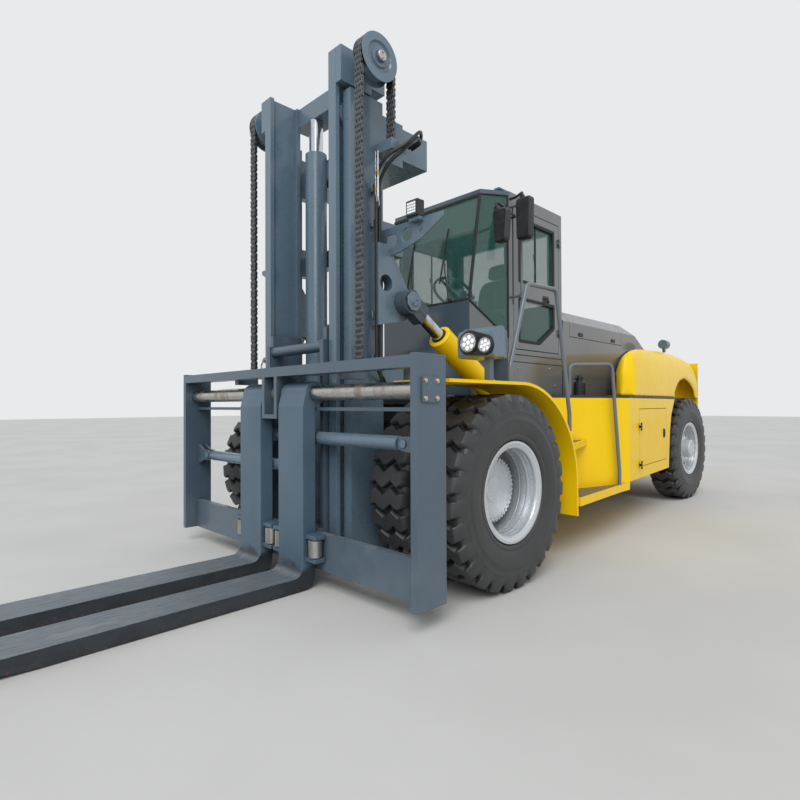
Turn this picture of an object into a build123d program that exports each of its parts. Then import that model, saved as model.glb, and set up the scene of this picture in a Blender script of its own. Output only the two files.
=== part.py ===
"""Heavy counterbalance forklift truck, 25 to 30 tonne class.

Millimetres, +Z up from the floor, +X to the truck's left, forks towards -Y.
The model is laid out from the front axle (Y = 0) and is moved at the end so
that the origin lies on the floor under the middle of its box.
"""
from build123d import *
import math
import os

# Wheels and axles
TYRE_D = 1370.0
TYRE_W = 375.0
SHOULDER_W = 340.0
LUG_DEPTH = 34.0
LUG_COUNT = 27
GROOVE_W = 52.0
GROOVE_ZIGZAG = 34.0
GROOVE_TURN_X = 80.0
GROOVE_RUNOUT = 58.0
SHOULDER_DROP = 26.0
RIM_W = 320.0
RIM_FLANGE_D = 711.0
BEAD_SEAT_D = 635.0
RIM_WALL = 14.0
BEAD_GAP = 0.2
TYRE_R = TYRE_D / 2
FLANGE_R = RIM_FLANGE_D / 2
SEAT_R = BEAD_SEAT_D / 2
AXLE_Z = TYRE_R
WHEELBASE = 4850.0
FRONT_OUTER_X = 1315.0
TWIN_PITCH = 450.0
REAR_WHEEL_X = 955.0
HUB_R = 235.0
HUB_FACE_X = 1300.0
HUB_BACK_X = 702.0
DRIVE_FLANGE_R = 222.0
HUB_TEETH = 42
HUB_TOOTH_H = 12.0
HUB_PLATE_T = 33.0
AXLE_TUBE_R = 140.0
AXLE_TUBE_X = 690.0
SPINDLE_R = 90.0
RUN_CLEAR = 0.06
FIT_GAP = 6.0

# Steering
KINGPIN_X = 790.0
KINGPIN_R = 36.0
STEER_BEAM_H = 210.0
STEER_BEAM_W = 260.0
STEER_EYE_R = 88.0
STEER_EYE_H = 230.0
YOKE_T = 42.0
REAR_HUB_R = 165.0
REAR_SPINDLE_R = 62.0

# Mast
PIVOT_Y = -300.0
PIVOT_Z = 600.0
PIVOT_PIN_R = 45.0
EAR_R = 112.0
INNER_EDGE_X = 400.0
INNER_FLANGE_W = 85.0
INNER_FRONT_Y = -790.0
INNER_DEPTH = 300.0
INNER_WEB_T = 22.0
FLANGE_T = 36.0
OUTER_EDGE_X = 495.0
OUTER_FLANGE_W = 80.0
OUTER_FRONT_Y = -727.0
OUTER_DEPTH = 320.0
OUTER_WEB_T = 32.0
OUTER_Z0 = 150.0
INNER_Z0 = 330.0
INNER_TOP = 3900.0
MAST_STEP = 300.0
OUTER_TOP = INNER_TOP - MAST_STEP
LIFT_STROKE = 2000.0
ROLLER_GAP = 5.0
ROLLER_W = 36.0
LIFT_CYL_X = 220.0
LIFT_CYL_Y = -450.0
LIFT_BARREL_R = 92.0
LIFT_BARREL_WALL = 16.0
LIFT_ROD_R = 60.0
BOTTOM_BEAM_H = 150.0
INNER_TIE_Y = -345.0
INNER_TIE_T = 40.0
CROSSHEAD_H = 160.0
CROSSHEAD_Z0 = INNER_TOP - CROSSHEAD_H
LIFT_ROD_SHOW = 290.0
LIFT_BARREL_TOP = CROSSHEAD_Z0 - LIFT_ROD_SHOW
OUTER_TIE_Y = -290.0
OUTER_TIE_D = 100.0
OUTER_TIES = ((1430.0, 150.0), (2520.0, 150.0))
TOP_TIE_DROP = 370.0
TOP_TIE_Z0 = OUTER_TOP - TOP_TIE_DROP
TOP_TIE_H = 250.0
TOP_TIE_REAR_Y = 95.0

# Chains
CHAIN_X = 718.0
CHAIN_Y = -764.0
CHAIN_W = 92.0
CHAIN_T = 38.0
CHAIN_PITCH = 40.0
CHAIN_WAIST = 8.0
SHEAVE_R = 154.0
SHEAVE_DROP = 120.0
SHEAVE_Z = INNER_TOP - SHEAVE_DROP
SHEAVE_W = 104.0
SHEAVE_PIN_R = 38.0
CHAIN_ANCHOR_RISE = 20.0
CHAIN_ANCHOR_Z = TOP_TIE_Z0 + CHAIN_ANCHOR_RISE

# Tilt cylinders
TILT_X = 720.0
TILT_EYE = (-284.0, 2073.0)
TILT_TAIL = (950.0, 1293.0)
TILT_PIN_R = 42.0
TILT_EYE_PLAY = 6.0
TILT_BARREL_R = 100.0
TILT_BARREL_WALL = 18.0
TILT_ROD_R = 52.0
TILT_GLAND_FROM_EYE = 432.0
TILT_EYE_R = 92.0
TILT_EYE_W = 96.0

# Carriage
CARRIAGE_FRONT_Y = -1050.0
END_PLATE_X = 1482.0
END_PLATE_T = 48.0
END_PLATE_D = 250.0
CARRIAGE_Z0 = 138.0
CARRIAGE_TOP = 1587.0
BEAM_Z0 = 1508.0
BEAM_H = 70.0
BEAM_D = 120.0
SHAFT_Y = -940.0
SHAFT_Z = 1381.0
SHAFT_R = 54.0
LOWER_PLATE_TOP = 394.0
LOWER_PLATE_Y = -935.0
LOWER_PLATE_T = 50.0
GUIDE_X = 345.0
GUIDE_T = 40.0
GUIDE_Z0 = 322.0
GUIDE_TOP = 1872.0
GUIDE_REAR_Y = -520.0
GUIDE_FRONT_Y = -830.0
CENTRE_PLATE_X = 85.0
CENTRE_PLATE_T = 36.0
THIN_BAR_Z = 1256.0
THIN_BAR_H = 24.0

# Forks
FORK_INNER_X = 127.0
FORK_W = 310.0
FORK_T = 105.0
FORK_BLADE_T = 95.0
FORK_FLOOR_GAP = 5.0
FORK_FRONT_Y = -1047.0
FORK_LENGTH = 2400.0
FORK_BOSS_R = 84.0
FORK_BOSS_GAP = 7.0
FORK_TRAVEL = 400.0
FORK_TIP_T = 18.0
FORK_TAPER = 850.0
POSITIONER_Y = -885.0
POSITIONER_Z = 1060.0
POSITIONER_LOW_Z = 830.0
POSITIONER_R = 45.0
POSITIONER_WALL = 9.0
POSITIONER_ROD_R = 28.0
POSITIONER_MOUTH_X = -60.0
POSITIONER_TAIL_X = 1235.0
POSITIONER_PIN_X = 1300.0
POSITIONER_PIN_R = 18.0
POSITIONER_TONGUE_T = 40.0
POSITIONER_ROD_LENGTH = 720.0
FORK_ROLLER_R = 50.0
ROLLER_Z0 = 236.0
ROLLER_Z1 = 366.0
SEAT_GAP = 0.3

# Chassis
RAIL_X = 400.0
RAIL_T = 40.0
RAIL_Z0 = 500.0
RAIL_TOP = 1300.0
RAIL_ARCH_Z = 860.0
RAIL_REAR_Y = WHEELBASE - 850.0
SPINE_X = 195.0
SPINE_Z0 = 620.0
DECK_TOP = 1380.0
DECK_T = 25.0
UPPER_DECK_Z = 1425.0
CHEEK_X = 600.0
CHEEK_T = 50.0

# Side boxes, left side, plan corners (x, y)
BOX_FRONT = (1000.0, 1050.0)
BOX_FOLD = (1365.0, 2220.0)
BOX_REAR_TOP_Y = WHEELBASE - 750.0
BOX_REAR_FOOT_Y = BOX_REAR_TOP_Y - 338.0
BOX_REAR_EDGE = ((956.0, 270.0), (1162.0, 193.0))
BOX_REAR_X = 1175.0
BOX_INNER_X = 446.0
BOX_Z0 = 520.0
BOX_WALL = 22.0
STEP_OUTER_FRONT = (1435.0, 1045.0)
STEP_OUTER_REAR = (1365.0, 2020.0)
STEP_LEVELS = ((440.0, 70.0, 1.0), (905.0, 55.0, 0.52))
BOX_DOOR_Y0 = 2560.0
BOX_DOOR_Y1 = BOX_REAR_TOP_Y - 450.0
BOX_DOOR_Z0 = 640.0
BOX_DOOR_Z1 = 1240.0
DOOR_SLOT = 6.0

# Front fenders
FENDER_OUTER_X = 1475.0
FENDER_INNER_X = 985.0
FENDER_TOP = 1455.0
FENDER_T = 22.0
FENDER_FRONT_Y = -700.0
FENDER_ARC_Y = 110.0
FENDER_ARC_R = 815.0
FENDER_FOOT_Z = 385.0
FENDER_WEB_IN = 124.0

# Cab
CAB_X = 720.0
CAB_SCREEN_X = 565.0
CAB_FLOOR_Z = 1780.0
CAB_SILL_Z = 2243.0
CAB_HEAD_Z = 3200.0
CAB_GLASS_RISE = 60.0
CAB_GLASS_Z = CAB_HEAD_Z + CAB_GLASS_RISE
CAB_ROOF_T = 40.0
CAB_ROOF_Z = CAB_GLASS_Z + CAB_ROOF_T
CAB_SILL_Y = 671.0
CAB_HEAD_Y = 838.5
CAB_PILLAR_Y = 1085.0
CAB_REAR_Y = 2060.0
CAB_WALL = 50.0
CORNER_SILL_Z = 1917.0
GLASS_T = 12.0
DOOR_Y0 = 1150.0
DOOR_Y1 = 1990.0
DOOR_T = 46.0
CAB_BASE_X = 550.0
DOOR_SASH_DROP = 720.0
ROOF_RAIL_X = 625.0
ROOF_RAIL_W = 60.0
ROOF_RAIL_LIFT = 28.0
ROOF_RAIL_T = 14.0

# Cab interior
COLUMN_DIR = (220.0, 308.0)
WHEEL_HUB_H = 30.0

# Hood
HOOD_Y0 = 2085.0
HOOD_SIDE_X = 720.0
HOOD_TOP_X = 620.0
HOOD_TOP_Z = 2310.0
HOOD_SHOULDER_Z = 2190.0
HOOD_SLOPE_Y = WHEELBASE - 1110.0
HOOD_REAR_Y = WHEELBASE - 290.0
HOOD_REAR_Z = 1900.0
HOOD_WALL = 30.0
LID_Y0 = 2230.0
LID_Y1 = HOOD_SLOPE_Y - 180.0
LID_Z0 = 2035.0
LID_SPINE_X = 70.0

# Rear fenders and counterweight
REAR_FENDER_X = 985.0
REAR_FENDER_INNER_X = 730.0
REAR_FENDER_NOSE_X = 1255.0
REAR_FENDER_FRONT_Y = 2290.0
REAR_FENDER_TOP = 1985.0
REAR_FENDER_WALL = 40.0
WEIGHT_FRONT_Y = WHEELBASE + 810.0
WEIGHT_REAR_Y = WEIGHT_FRONT_Y + 400.0
WEIGHT_X = 980.0
WEIGHT_TAPER = 120.0
WEIGHT_Z0 = 480.0
WEIGHT_TOP = 1900.0
DRAW_PIN_R = 30.0
GRILLE_X = 430.0
GRILLE_Z0 = 1160.0
GRILLE_PITCH = 62.0
GRILLE_SLATS = 8
GRILLE_DEPTH = 30.0
# Height below the top, then how far the front, the side and the rear lean in
REAR_FENDER_LEVELS = ((385.0, 0.0, 0.0, 0.0), (195.0, 58.0, 25.0, 50.0), (85.0, 190.0, 70.0, 200.0),
                      (0.0, 480.0, 170.0, 620.0))
# Share of the front, side and rear lean on each edge of its plan, from the front edge on
FENDER_EDGE_LEANS = ((1.0, 0.0, 0.0), (0.6, 0.4, 0.0), (0.3, 0.7, 0.0), (0.0, 1.0, 0.0), (0.0, 0.0, 1.0),
                     (0.0, 0.0, 0.0))
# Arch outline from the rear axle and from the deck
REAR_ARCH = ((-718.0, -20.0), (-550.0, 100.0), (-324.0, 200.0), (0.0, 245.0), (300.0, 200.0), (550.0, 100.0),
             (710.0, -20.0))

# Hinges
HINGE_OFF = 16.0
HINGE_R = 13.0
HINGE_PIN_R = 7.0
HINGE_LENGTH = 84.0
HINGE_LEAF = 26.0
CAB_HINGE_Z = (2000.0, CAB_HEAD_Z - 250.0)
BOX_HINGE_Z = (700.0, 1100.0)
LID_HINGE_IN = 180.0

# Small fittings
LAMP_SEAT_Z = 2628.0
RAIL_TUBE_R = 17.0
RAIL_FOOT_X = 1395.0
RAIL_FOOT_Y = 935.0
RAIL_FOOT_Z = 1075.0
MIRROR_ARM_X = 958.0
MIRROR_ARM_R = 12.0
MIRROR_Z = 2640.0
SIDE_TUBE_X = 840.0
RAIL_REAR_FOOT = (1350.0, 2010.0)
SIDE_TUBE_Y = 1098.0
# Lamp centre across the truck, height above the fender, radius
POD_LAMPS = ((1269.0, 268.0, 68.0), (1409.0, 241.0, 52.0))
POD_FRONT_Y = -240.0
DRUM_LAMP_R = 58.0
DRUM_LAMP_Y = WHEELBASE - 470.0
DRUM_LAMP_X = 950.0
ENGINE_Y0 = LID_Y0 + 120.0
ENGINE_Y1 = HOOD_SLOPE_Y - 90.0

FRONT_EXTENT = FORK_FRONT_Y - FORK_LENGTH
Y_MID = (FRONT_EXTENT + WEIGHT_REAR_Y) / 2


def block(x0, x1, y0, y1, z0, z1):
    """Box between six planes."""
    return Pos((x0 + x1) / 2, (y0 + y1) / 2, (z0 + z1) / 2) * Box(x1 - x0, y1 - y0, z1 - z0)


def side_plate(points, x0, x1, fillets=()):
    """Plate from a (y, z) outline between two X planes; fillets is (corner, radius)."""
    face = make_face(Polyline(*points, close=True))
    for (y, z), radius in fillets:
        corner = face.vertices().sort_by_distance((y, z, 0))[0]
        face = fillet(corner, radius)
    return Pos(x0, 0, 0) * extrude(Plane.YZ * face, amount=x1 - x0)


def front_plate(points, y0, y1):
    """Plate from an (x, z) outline between two Y planes."""
    face = make_face(Polyline(*points, close=True))
    return Pos(0, y1, 0) * extrude(Plane.XZ * face, amount=y1 - y0)


def plan_plate(points, z0, z1):
    """Plate from an (x, y) outline between two heights."""
    face = make_face(Polyline(*points, close=True))
    return Pos(0, 0, z0) * extrude(face, amount=z1 - z0)


def x_rod(x0, x1, y, z, r):
    """Round bar along X."""
    return Pos((x0 + x1) / 2, y, z) * Rot(0, 90, 0) * Cylinder(r, x1 - x0)


def z_rod(x, y, z0, z1, r):
    """Round bar along Z."""
    return Pos(x, y, (z0 + z1) / 2) * Cylinder(r, z1 - z0)


def bar_between(p, q, r):
    """Round bar from one point to another."""
    a, b = Vector(*p), Vector(*q)
    return Plane(origin=(a + b) * 0.5, z_dir=b - a) * Cylinder(r, (b - a).length)


def bent_tube(points, bend, r):
    """Round tube along straight runs with equal bends."""
    path = FilletPolyline(*points, radius=bend)
    return sweep(Plane(origin=path @ 0, z_dir=path % 0) * Circle(r), path)


def spin(profile, x, y, z):
    """Body of revolution about an X axis from an (x, radius) outline."""
    face = Plane.XZ * make_face(Polyline(*profile, close=True))
    return Pos(x, y, z) * revolve(face, Axis.X)


def mirrored(shape):
    """The same piece on the truck's other side."""
    return mirror(shape, about=Plane.YZ)


def hinge_pair(origin, normal, axis):
    """Fixed and moving halves of a butt hinge standing off a panel; the moving half lies at local -Y."""
    plane = Plane(origin=origin, x_dir=normal, z_dir=axis)
    third = HINGE_LENGTH / 3

    def knuckle_at(z0, z1, way):
        mid = (z0 + z1) / 2
        leaf = Pos(-(HINGE_OFF + 1) / 2, way * HINGE_LEAF / 2, mid) * Box(HINGE_OFF + 1, HINGE_LEAF, z1 - z0)
        return leaf + Pos(0, 0, mid) * Cylinder(HINGE_R, z1 - z0)

    fixed = knuckle_at(0, third, 1) + knuckle_at(2 * third, HINGE_LENGTH, 1)
    fixed += Pos(0, 0, HINGE_LENGTH / 2) * Cylinder(HINGE_PIN_R, HINGE_LENGTH)
    moving = knuckle_at(third + SEAT_GAP, 2 * third - SEAT_GAP, -1)
    moving -= Pos(0, 0, HINGE_LENGTH / 2) * Cylinder(HINGE_PIN_R + RUN_CLEAR, HINGE_LENGTH * 2)
    return plane * fixed, plane * moving


def cab_hinges():
    """Hinges of the left cab door, at its rear edge."""
    return [hinge_pair((CAB_X + HINGE_OFF, DOOR_Y1 + DOOR_SLOT / 2, z), (1, 0, 0), (0, 0, 1)) for z in CAB_HINGE_Z]


def lid_hinges():
    """Hinges of the left gull-wing lid, along the hood's spine."""
    places = (LID_Y0 + LID_HINGE_IN, LID_Y1 - LID_HINGE_IN)
    origin_x, origin_z = LID_SPINE_X - DOOR_SLOT / 2, HOOD_TOP_Z + HINGE_OFF
    return [hinge_pair((origin_x, y, origin_z), (0, 0, 1), (0, -1, 0)) for y in places]


def box_point(s, depth):
    """Plan point at a distance along the box's rear panel from its fold, and a depth behind its face."""
    ax, ay = BOX_FOLD
    ux, uy = BOX_REAR_X - ax, BOX_REAR_TOP_Y - ay
    length = math.hypot(ux, uy)
    ux, uy = ux / length, uy / length
    return (ax + ux * s - uy * depth, ay + uy * s + ux * depth)


def box_reach(y):
    """Distance along the box's rear panel from its fold to a given Y."""
    ux, uy = BOX_REAR_X - BOX_FOLD[0], BOX_REAR_TOP_Y - BOX_FOLD[1]
    return (y - BOX_FOLD[1]) / (uy / math.hypot(ux, uy))


def box_hinges():
    """Hinges of the left box door, at its front edge."""
    x, y = box_point(box_reach(BOX_DOOR_Y0) - DOOR_SLOT / 2, -HINGE_OFF)
    nx, ny = box_point(0, -1)
    normal = (nx - BOX_FOLD[0], ny - BOX_FOLD[1], 0)
    return [hinge_pair((x, y, z), normal, (0, 0, -1)) for z in BOX_HINGE_Z]


def groove():
    """One zigzag groove across the tread at the tyre's top, running deeper out through the shoulders."""
    reach = TYRE_W / 2 + 4
    low = TYRE_R - LUG_DEPTH
    high = TYRE_R + 8
    line = [(-reach, 0), (-GROOVE_TURN_X, GROOVE_ZIGZAG), (0, -GROOVE_ZIGZAG), (GROOVE_TURN_X, GROOVE_ZIGZAG), (reach, 0)]
    band = [(x, y - GROOVE_W / 2) for x, y in line] + [(x, y + GROOVE_W / 2) for x, y in reversed(line)]
    shoulder = SHOULDER_W / 2 - SHOULDER_DROP
    runout = front_plate([(shoulder, low), (reach, low - GROOVE_RUNOUT), (reach, high), (shoulder, high)], -TYRE_R, TYRE_R)
    ends = plan_plate(band, low - GROOVE_RUNOUT, high) & (runout + mirrored(runout))
    return plan_plate(band, low, high) + ends


def tyre(x, y):
    """Tyre with rounded sidewalls and a tread parted into lugs by zigzag grooves."""
    bead = RIM_W / 2 - RIM_WALL - BEAD_GAP
    half = TYRE_W / 2
    tread = SHOULDER_W / 2
    low = SEAT_R + BEAD_GAP
    lip = FLANGE_R + BEAD_GAP * 4
    edge = TYRE_R - SHOULDER_DROP
    mid = (lip + edge) / 2
    outline = [
        Polyline((-bead, lip), (-bead, low), (bead, low), (bead, lip)),
        ThreePointArc((bead, lip), (half, mid), (tread, edge)),
        Polyline((tread, edge), (tread - SHOULDER_DROP, TYRE_R), (SHOULDER_DROP - tread, TYRE_R), (-tread, edge)),
        ThreePointArc((-tread, edge), (-half, mid), (-bead, lip)),
    ]
    body = revolve(Plane.XZ * make_face(outline), Axis.X)
    one = groove()
    body -= [Rot(360 * k / LUG_COUNT, 0, 0) * one for k in range(LUG_COUNT)]
    return Pos(x, y, AXLE_Z) * body


def toothed_plate(x0, x1, r):
    """Toothed disc on the wheel's axis between two X planes."""
    step = 2 * math.pi / HUB_TEETH
    ring = []
    for k in range(HUB_TEETH):
        for share, height in ((0.0, 0.0), (0.22, HUB_TOOTH_H), (0.5, HUB_TOOTH_H), (0.72, 0.0)):
            angle = (k + share) * step
            ring.append(((r + height) * math.cos(angle), (r + height) * math.sin(angle)))
    return Pos(x0, 0, AXLE_Z) * extrude(Plane.YZ * make_face(Polyline(*ring, close=True)), amount=x1 - x0)


def rim(x, y, disc_x, disc_hole_r):
    """Wheel rim: stepped barrel with flanges and a mounting disc."""
    half = RIM_W / 2
    inner = SEAT_R - RIM_WALL
    barrel = [
        (-half, FLANGE_R), (-half + RIM_WALL, FLANGE_R), (-half + RIM_WALL, SEAT_R),
        (half - RIM_WALL, SEAT_R), (half - RIM_WALL, FLANGE_R), (half, FLANGE_R),
        (half, FLANGE_R - 16), (half - 10, inner + 12), (half - 60, inner), (-half + 40, inner),
        (-half, inner + 20),
    ]
    disc = [(disc_x, disc_hole_r), (disc_x + 24, disc_hole_r), (disc_x + 24, inner + 2), (disc_x, inner + 2)]
    return spin(barrel, x, y, AXLE_Z) + spin(disc, x, y, AXLE_Z)


def front_wheel():
    """Left twin wheel: two rims bolted on one long hub."""
    inner_x = FRONT_OUTER_X - TWIN_PITCH
    hub = [
        (HUB_BACK_X, SPINDLE_R + RUN_CLEAR), (HUB_BACK_X, HUB_R), (HUB_FACE_X - 60, HUB_R),
        (HUB_FACE_X - 40, HUB_R - 30), (HUB_FACE_X - 34, HUB_R - 30), (HUB_FACE_X - 34, DRIVE_FLANGE_R),
        (HUB_FACE_X, DRIVE_FLANGE_R), (HUB_FACE_X, 0), (HUB_FACE_X - 180, 0),
        (HUB_FACE_X - 180, SPINDLE_R + RUN_CLEAR),
    ]
    rims = spin(hub, 0, 0, AXLE_Z) + toothed_plate(HUB_FACE_X - HUB_PLATE_T + 3, HUB_FACE_X + 3, DRIVE_FLANGE_R - 1)
    rims += rim(FRONT_OUTER_X, 0, -130.0, HUB_R - 1)
    rims += rim(inner_x, 0, 20.0, HUB_R - 1)
    outer = tyre(FRONT_OUTER_X, 0)
    tyres = Compound(children=[outer, Pos(-TWIN_PITCH, 0, 0) * outer])
    return {"front_tyres": tyres, "front_hub_rims": rims}


def front_axle():
    """Drive axle: tubes, differential housing, spindles and mast trunnion cheeks."""
    axle = x_rod(-AXLE_TUBE_X, AXLE_TUBE_X, 0, AXLE_Z, AXLE_TUBE_R)
    axle += x_rod(-HUB_FACE_X + 200, HUB_FACE_X - 200, 0, AXLE_Z, SPINDLE_R)
    axle += Pos(0, 0, AXLE_Z) * Sphere(255)
    cheek = side_plate(
        [(PIVOT_Y - 100, PIVOT_Z - 50), (PIVOT_Y - 60, PIVOT_Z + 100), (-60, AXLE_Z + 190),
         (150, AXLE_Z + 190), (190, AXLE_Z - 60), (60, AXLE_Z - 180), (PIVOT_Y - 40, PIVOT_Z - 110)],
        CHEEK_X, CHEEK_X + CHEEK_T,
    )
    pin = x_rod(OUTER_EDGE_X + 4, CHEEK_X + CHEEK_T + 8, PIVOT_Y, PIVOT_Z, PIVOT_PIN_R)
    pad = block(RAIL_X - FIT_GAP, RAIL_X + RAIL_T + FIT_GAP, -75, 75, AXLE_Z + 60, RAIL_ARCH_Z)
    return axle + cheek + pin + pad + mirrored(cheek) + mirrored(pin) + mirrored(pad)


def knuckle():
    """Left steering knuckle: yoke round the beam eye, kingpin and wheel spindle."""
    top = AXLE_Z + STEER_EYE_H / 2 + 3
    low = AXLE_Z - STEER_EYE_H / 2 - 3
    arm = 96.0
    yoke = z_rod(KINGPIN_X, WHEELBASE, top, top + YOKE_T, STEER_EYE_R)
    yoke += z_rod(KINGPIN_X, WHEELBASE, low - YOKE_T, low, STEER_EYE_R)
    for z in (top, low - YOKE_T):
        yoke += block(KINGPIN_X, KINGPIN_X + 120, WHEELBASE - arm / 1.2, WHEELBASE + arm / 1.2, z, z + YOKE_T)
    yoke += block(KINGPIN_X + STEER_EYE_R + 6, KINGPIN_X + 130, WHEELBASE - arm, WHEELBASE + arm,
                  low - YOKE_T, top + YOKE_T)
    yoke += z_rod(KINGPIN_X, WHEELBASE, low - YOKE_T - 8, top + YOKE_T + 8, KINGPIN_R)
    yoke += x_rod(KINGPIN_X + 120, KINGPIN_X + 330, WHEELBASE, AXLE_Z, REAR_SPINDLE_R)
    return yoke


def rear_wheel():
    """Left rear wheel on its hub."""
    hub_x = KINGPIN_X + 140.0
    cap_x = REAR_WHEEL_X + 190.0
    hub = [
        (hub_x, REAR_SPINDLE_R + RUN_CLEAR), (hub_x, REAR_HUB_R), (REAR_WHEEL_X + 90, REAR_HUB_R),
        (REAR_WHEEL_X + 96, REAR_HUB_R - 40), (cap_x - 12, REAR_HUB_R - 46), (cap_x, REAR_HUB_R - 60),
        (cap_x, 0), (KINGPIN_X + 340, 0), (KINGPIN_X + 340, REAR_SPINDLE_R + RUN_CLEAR),
    ]
    rims = spin(hub, 0, WHEELBASE, AXLE_Z) + rim(REAR_WHEEL_X, WHEELBASE, 30.0, REAR_HUB_R - 1)
    return {"rear_tyre": tyre(REAR_WHEEL_X, WHEELBASE), "rear_hub_rim": rims}


def steer_axle():
    """Beam axle under the rear spine with an eye for each kingpin."""
    half_w = STEER_BEAM_W / 2
    end = KINGPIN_X - 60
    plan = [
        (-end, WHEELBASE - 70), (-420, WHEELBASE - half_w), (420, WHEELBASE - half_w), (end, WHEELBASE - 70),
        (end, WHEELBASE + 70), (420, WHEELBASE + half_w), (-420, WHEELBASE + half_w), (-end, WHEELBASE + 70),
    ]
    beam = plan_plate(plan, AXLE_Z - STEER_BEAM_H / 2, AXLE_Z + STEER_BEAM_H / 2)
    for side in (-1, 1):
        x = side * KINGPIN_X
        beam += z_rod(x, WHEELBASE, AXLE_Z - STEER_EYE_H / 2, AXLE_Z + STEER_EYE_H / 2, STEER_EYE_R)
        beam -= z_rod(x, WHEELBASE, AXLE_Z - STEER_EYE_H, AXLE_Z + STEER_EYE_H, KINGPIN_R + RUN_CLEAR)
    return beam


def upright(edge_x, flange_w, front_y, depth, web_x, web_t, z0, z1):
    """One I or channel section upright on the left."""
    rear_y = front_y + depth
    bar = block(edge_x, edge_x + flange_w, front_y, front_y + FLANGE_T, z0, z1)
    bar += block(edge_x, edge_x + flange_w, rear_y - FLANGE_T, rear_y, z0, z1)
    bar += block(web_x, web_x + web_t, front_y, rear_y, z0, z1)
    return bar


CHAIN_LOW_Z = BEAM_Z0 + 40.0
SHEAVE_Y = CHAIN_Y + SHEAVE_R
OUTER_REAR_Y = OUTER_FRONT_Y + OUTER_DEPTH
OUTER_FACE_X = OUTER_EDGE_X + OUTER_FLANGE_W
OUTER_WEB_X = OUTER_FACE_X - OUTER_WEB_T
INNER_REAR_Y = INNER_FRONT_Y + INNER_DEPTH
INNER_FACE_X = INNER_EDGE_X + INNER_FLANGE_W
INNER_WEB_X = INNER_EDGE_X + (INNER_FLANGE_W - INNER_WEB_T) / 2
INNER_ROLLER_R = (INNER_DEPTH - 2 * FLANGE_T) / 2 - ROLLER_GAP
OUTER_ROLLER_R = (OUTER_DEPTH - 2 * FLANGE_T) / 2 - ROLLER_GAP
INNER_MID_Y = INNER_FRONT_Y + INNER_DEPTH / 2
OUTER_MID_Y = OUTER_FRONT_Y + OUTER_DEPTH / 2
OUTER_TIE_REAR_Y = OUTER_TIE_Y + OUTER_TIE_D
TILT_PLATE_X = OUTER_FACE_X
TILT_PLATE_T = TILT_X - TILT_EYE_W / 2 - FIT_GAP - TILT_PLATE_X


def tilt_plate():
    """Left tilt bracket plate with its large round hole and its pin."""
    eye_y, eye_z = TILT_EYE
    plate = side_plate(
        [(OUTER_FRONT_Y + 190, eye_z - 190), (eye_y + 30, eye_z - 130), (eye_y + 96, eye_z - 40),
         (eye_y + 90, eye_z + 60), (-430, eye_z + 420), (OUTER_FRONT_Y + 190, eye_z + 420)],
        TILT_PLATE_X, TILT_PLATE_X + TILT_PLATE_T,
        fillets=(((eye_y + 30, eye_z - 130), 60), ((eye_y + 96, eye_z - 40), 40), ((eye_y + 90, eye_z + 60), 50)),
    )
    plate -= x_rod(TILT_PLATE_X - 1, TILT_PLATE_X + TILT_PLATE_T + 1, eye_y - 175, eye_z + 130, 62)
    pin = x_rod(TILT_PLATE_X + TILT_PLATE_T - 1, TILT_X + TILT_EYE_W / 2 + 13, eye_y, eye_z, TILT_PIN_R)
    keeper = x_rod(TILT_X + TILT_EYE_W / 2 + 5, TILT_X + TILT_EYE_W / 2 + 13, eye_y, eye_z, TILT_PIN_R + 16)
    return plate + pin + keeper


def lamp_arm():
    """Left lamp arm: a tapered plate with lightening holes and the work lamp's seat."""
    arm = front_plate(
        [(OUTER_FACE_X, 2480), (OUTER_FACE_X, 2625), (1180, 2625), (1180, 2590), (980, 2480), (760, 2425),
         (OUTER_FACE_X, 2400)], -412, -400)
    for x, z, r in ((680, 2520, 52), (830, 2536, 50), (965, 2553, 30)):
        arm -= Pos(x, -406, z) * Rot(90, 0, 0) * Cylinder(r, 40)
    arm -= block(632, 680, -420, -390, 2468, 2572)
    return arm + block(900, 1000, -460, -400, 2600, LAMP_SEAT_Z)


def mast_bracket():
    """Left tilt bracket plate and lamp arm on the outer mast's flank."""
    return tilt_plate() + lamp_arm()


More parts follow.
